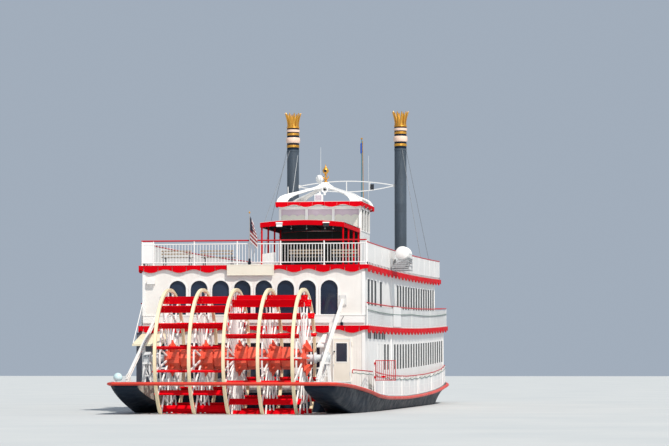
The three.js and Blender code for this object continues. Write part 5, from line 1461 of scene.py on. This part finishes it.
def board():
    """The name board: a blank cream panel in a thin moulded frame."""
    shape = Shape(BOARD_CREAM)
    outline = [(-1.12, 6.01), (-1.1, 6.0), (0.92, 6.0), (0.95, 6.03), (0.95, 6.48), (-1.15, 6.48),
               (-1.15, 6.03)]
    shape.prism("y", outline, (-0.148, -0.101))
    shape.edging("y", rectangle(-0.1, 1.03, 6.02, 6.46), -0.03, 0.015, (-0.156, -0.14))
    shape.piece("board_panel", instead=["name_board"])


gate()
for name, side in SIDES.items():
    raft(name, side)
deck_fittings()
board()


# Flag staffs and flags: each cloth hangs slack, its folds as long as the flat cloth is wide
def jackstaff():
    """A tall blue staff with bands, a gilt cap and a halyard beside it."""
    y = 33.8
    base = main_line(y + 0.14) + 0.005
    axis = (0, y, 0)
    shape = Shape(BLUE_STAFF)
    shape.tube([(0, y, base + 0.03), (0, y, base + 4), (0, y, 12), (0, y, 15.1)],
               [0.06, 0.055, 0.038, 0.03], 20)
    foot = ((0.14, 0), (0.14, 0.035), (0.1, 0.05), (0.065, 0.06), (0.06, 0.2))
    shape.turned([(r, base + rise) for r, rise in foot], 32, axis)
    for z in (5, 8.5, 12):
        shape.turned([(0.035, z), (0.064, z + 0.01), (0.064, z + 0.05), (0.035, z + 0.06)], 24, axis)
    shape.paint(GOLD)
    cap = [(0, 15.08), (0.035, 15.085), (0.055, 15.11), (0.06, 15.14), (0.05, 15.175), (0.0, 15.198)]
    shape.turned(cap, 24, axis)
    shape.tube([(0.05, y - 0.03, base + 1.2), (0.12, y - 0.04, base + 1.5), (0.12, y - 0.04, 10),
                (0.05, y - 0.01, 15.0)], 0.02)
    shape.box((0.04, 0.13), (y - 0.05, y - 0.02), (base + 1.12, base + 1.2))
    shape.piece("jackstaff_spar", instead=["jackstaff"])


def ensign_staff():
    """A thin staff in a black clamp on the name board, with a gilt ball on top."""
    x, y = -0.15, -0.076
    axis = (x, y, 0)
    shape = Shape(CRADLE_GREY)
    shape.tube([(x, y, 6.462), (x, y, 7.6), (x, y, 8.74)], [0.024, 0.022, 0.018], 14)
    shape.paint(GOLD)
    gilt = [(0, 8.735), (0.02, 8.74), (0.036, 8.76), (0.04, 8.785), (0.032, 8.81), (0, 8.828)]
    shape.turned(gilt, 20, axis)
    shape.paint(BLACK)
    clamp = [(0.024, 6.49), (0.07, 6.5), (0.075, 6.58), (0.045, 6.62), (0.04, 6.74), (0.024, 6.75)]
    shape.turned(clamp, 16, axis)
    shape.turned([(0.0, 6.4615), (0.075, 6.4615), (0.08, 6.48), (0.05, 6.5), (0, 6.5)], 20, axis)
    shape.piece("ensign_spar", instead=["ensign_staff"])


def winding(reach, depth, bends):
    """A line that reaches so far and swings so deep, by the share of its length; and its length."""
    fine = 2000
    far = [reach * i / fine for i in range(fine + 1)]
    deep = [depth * sin(bends * pi * i / fine) for i in range(fine + 1)]
    run = [0.0]
    for i in range(fine):
        run.append(run[-1] + hypot(far[i + 1] - far[i], deep[i + 1] - deep[i]))
    return lambda share: [float(np.interp(share * run[-1], run, line)) for line in (far, deep)], run[-1]


def hanging_cloth(name, finish, plan, corner, aftward, hoist, sink, nodes, gather=0.0):
    """A limp flag: it winds away from its staff, sinks as it goes, and its head is gathered in."""
    across, down = 160, 44
    at, length = plan
    points = []
    for j in range(down + 1):
        for i in range(across + 1):
            far, deep = at(i / across)
            far *= 1 - gather * (0.5 + 0.5 * cos(pi * min(1, 1.6 * j / down)))
            x, y = (deep, -far) if aftward else (far, deep)
            fall = hoist * j / down + sink(i / across)
            points.append(place(corner[0] + x, corner[1] + y, corner[2] - fall))
    row = across + 1
    faces = [(j * row + i, j * row + i + 1, (j + 1) * row + i + 1, (j + 1) * row + i)
             for j in range(down) for i in range(across)]
    data = bpy.data.meshes.new(name)
    data.from_pydata(points, [], faces)
    data.polygons.foreach_set("use_smooth", [True] * len(faces))
    own = data.uv_layers.new(name="cloth")
    for loop in data.loops:
        j, i = divmod(loop.vertex_index, row)
        own.data[loop.index].uv = (i / across, 1 - j / down)
    data.materials.append(finish.material)
    cloth = bpy.data.objects.new(name, data)
    bpy.context.scene.collection.objects.link(cloth)
    thick = cloth.modifiers.new("cloth_thickness", "SOLIDIFY")
    thick.thickness, thick.offset = 0.0016, 0
    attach(cloth, "boat")
    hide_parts(*nodes)


def bunting(name):
    """Woven cloth, still without its colours."""
    finish = Finish(name)
    finish.shader.inputs["Roughness"].default_value = 0.85
    finish.shader.inputs["Sheen Weight"].default_value = 0.2
    finish.bump(finish.noise(180, 2), 0.0006)
    return finish


def striped_bunting(name, canton, first, second, stripes):
    """Stripes along the fly and a canton at the hoist, by the cloth's own coordinates."""
    finish = bunting(name)
    split = finish.node("ShaderNodeSeparateXYZ")
    finish.link(finish.node("ShaderNodeUVMap", uv_map="cloth").outputs["UV"], split.inputs["Vector"])
    fly, hoist = split.outputs[0], split.outputs[1]
    turn = finish.math("FRACT", finish.math("MULTIPLY", hoist, stripes / 2), 0)
    field = finish.mixed(finish.math("LESS_THAN", turn, 0.5), first, second)
    near, high = finish.math("LESS_THAN", fly, 0.4), finish.math("GREATER_THAN", hoist, 6 / 13)
    finish.colour(finish.mixed(finish.math("MULTIPLY", near, high), field, canton))
    return finish


def plain_bunting(name, dye):
    finish = bunting(name)
    weave = finish.ranged(finish.noise(6, 3), 0.35, 0.7)
    finish.colour(finish.mixed(weave, dye, tuple(0.7 * c for c in dye)))
    return finish


ENSIGN_CLOTH = striped_bunting("ensign_bunting", (0.012, 0.016, 0.06), (0.36, 0.006, 0.016),
                               (0.84, 0.8, 0.8), 13)
JACK_CLOTH = plain_bunting("jack_bunting", (0.008, 0.07, 0.42))
jackstaff()
ensign_staff()
hanging_cloth("ensign_cloth", ENSIGN_CLOTH, winding(0.322, 0.037, 15), (-0.124, -0.076, 8.62),
              False, 1.12, lambda share: 0.33 * share, ["ensign"], gather=0.5)
hanging_cloth("jack_cloth", JACK_CLOTH, winding(0.44, 0.03, 5), (0, 33.765, 14.88), True, 0.56,
              lambda share: 0.1 * share**1.5, ["jack_flag"])


# Camera, light, floor and backdrop
CAMERA_PLACE, CAMERA_WAY, CAMERA_RISE = (10.158, -61.934, 0.95), (-0.15247, 0.98831), radians(3.34)
LENS = 134.4
# Columns: name, strength, angular size, place that it shines from, colour
LIGHTS = (
    ("sun", 3.9, 0.012, (42, -46, 80), (1.0, 0.94, 0.86)),
    ("low_fill", 0.55, 0.5, (30, -90, 12), (0.9, 0.95, 1.0)),
)


def stand():
    scene = bpy.context.scene

    def add(name, data):
        thing = bpy.data.objects.new(name, data)
        scene.collection.objects.link(thing)
        return thing

    camera = add("camera", bpy.data.cameras.new("camera"))
    camera.location = CAMERA_PLACE
    look = Vector((CAMERA_WAY[0] * cos(CAMERA_RISE), CAMERA_WAY[1] * cos(CAMERA_RISE), sin(CAMERA_RISE)))
    camera.rotation_euler = look.to_track_quat("-Z", "Y").to_euler()
    camera.data.sensor_width, camera.data.lens, camera.data.clip_end = 36, LENS, 1000
    scene.camera = camera

    for name, strength, size, source, colour in LIGHTS:
        lamp = add(name, bpy.data.lights.new(name, "SUN"))
        lamp.data.energy, lamp.data.angle, lamp.data.color = strength, size, colour
        lamp.rotation_euler = (-Vector(source)).to_track_quat("-Z", "Y").to_euler()

    scene.world = bpy.data.worlds.new("sky")
    scene.world.use_nodes = True
    back = scene.world.node_tree.nodes["Background"]
    back.inputs["Color"].default_value = (0.72, 0.84, 1.0, 1)
    back.inputs["Strength"].default_value = 0.5
    scene.view_settings.view_transform = "Standard"

    sand = Finish("floor_plaster")
    grain = sand.ranged(sand.noise(0.35, 4), 0.3, 0.7)
    sand.colour(sand.mixed(grain, (0.50, 0.53, 0.54), (0.56, 0.58, 0.58)))
    sand.shader.inputs["Roughness"].default_value = 0.85
    sand.bump(sand.noise(3, 3), 0.01)
    data = bpy.data.meshes.new("floor")
    data.from_pydata([(-150, -120, 0), (150, -120, 0), (150, 260, 0), (-150, 260, 0)], [], [(0, 1, 2, 3)])
    data.materials.append(sand.material)
    add("floor", data)


stand()
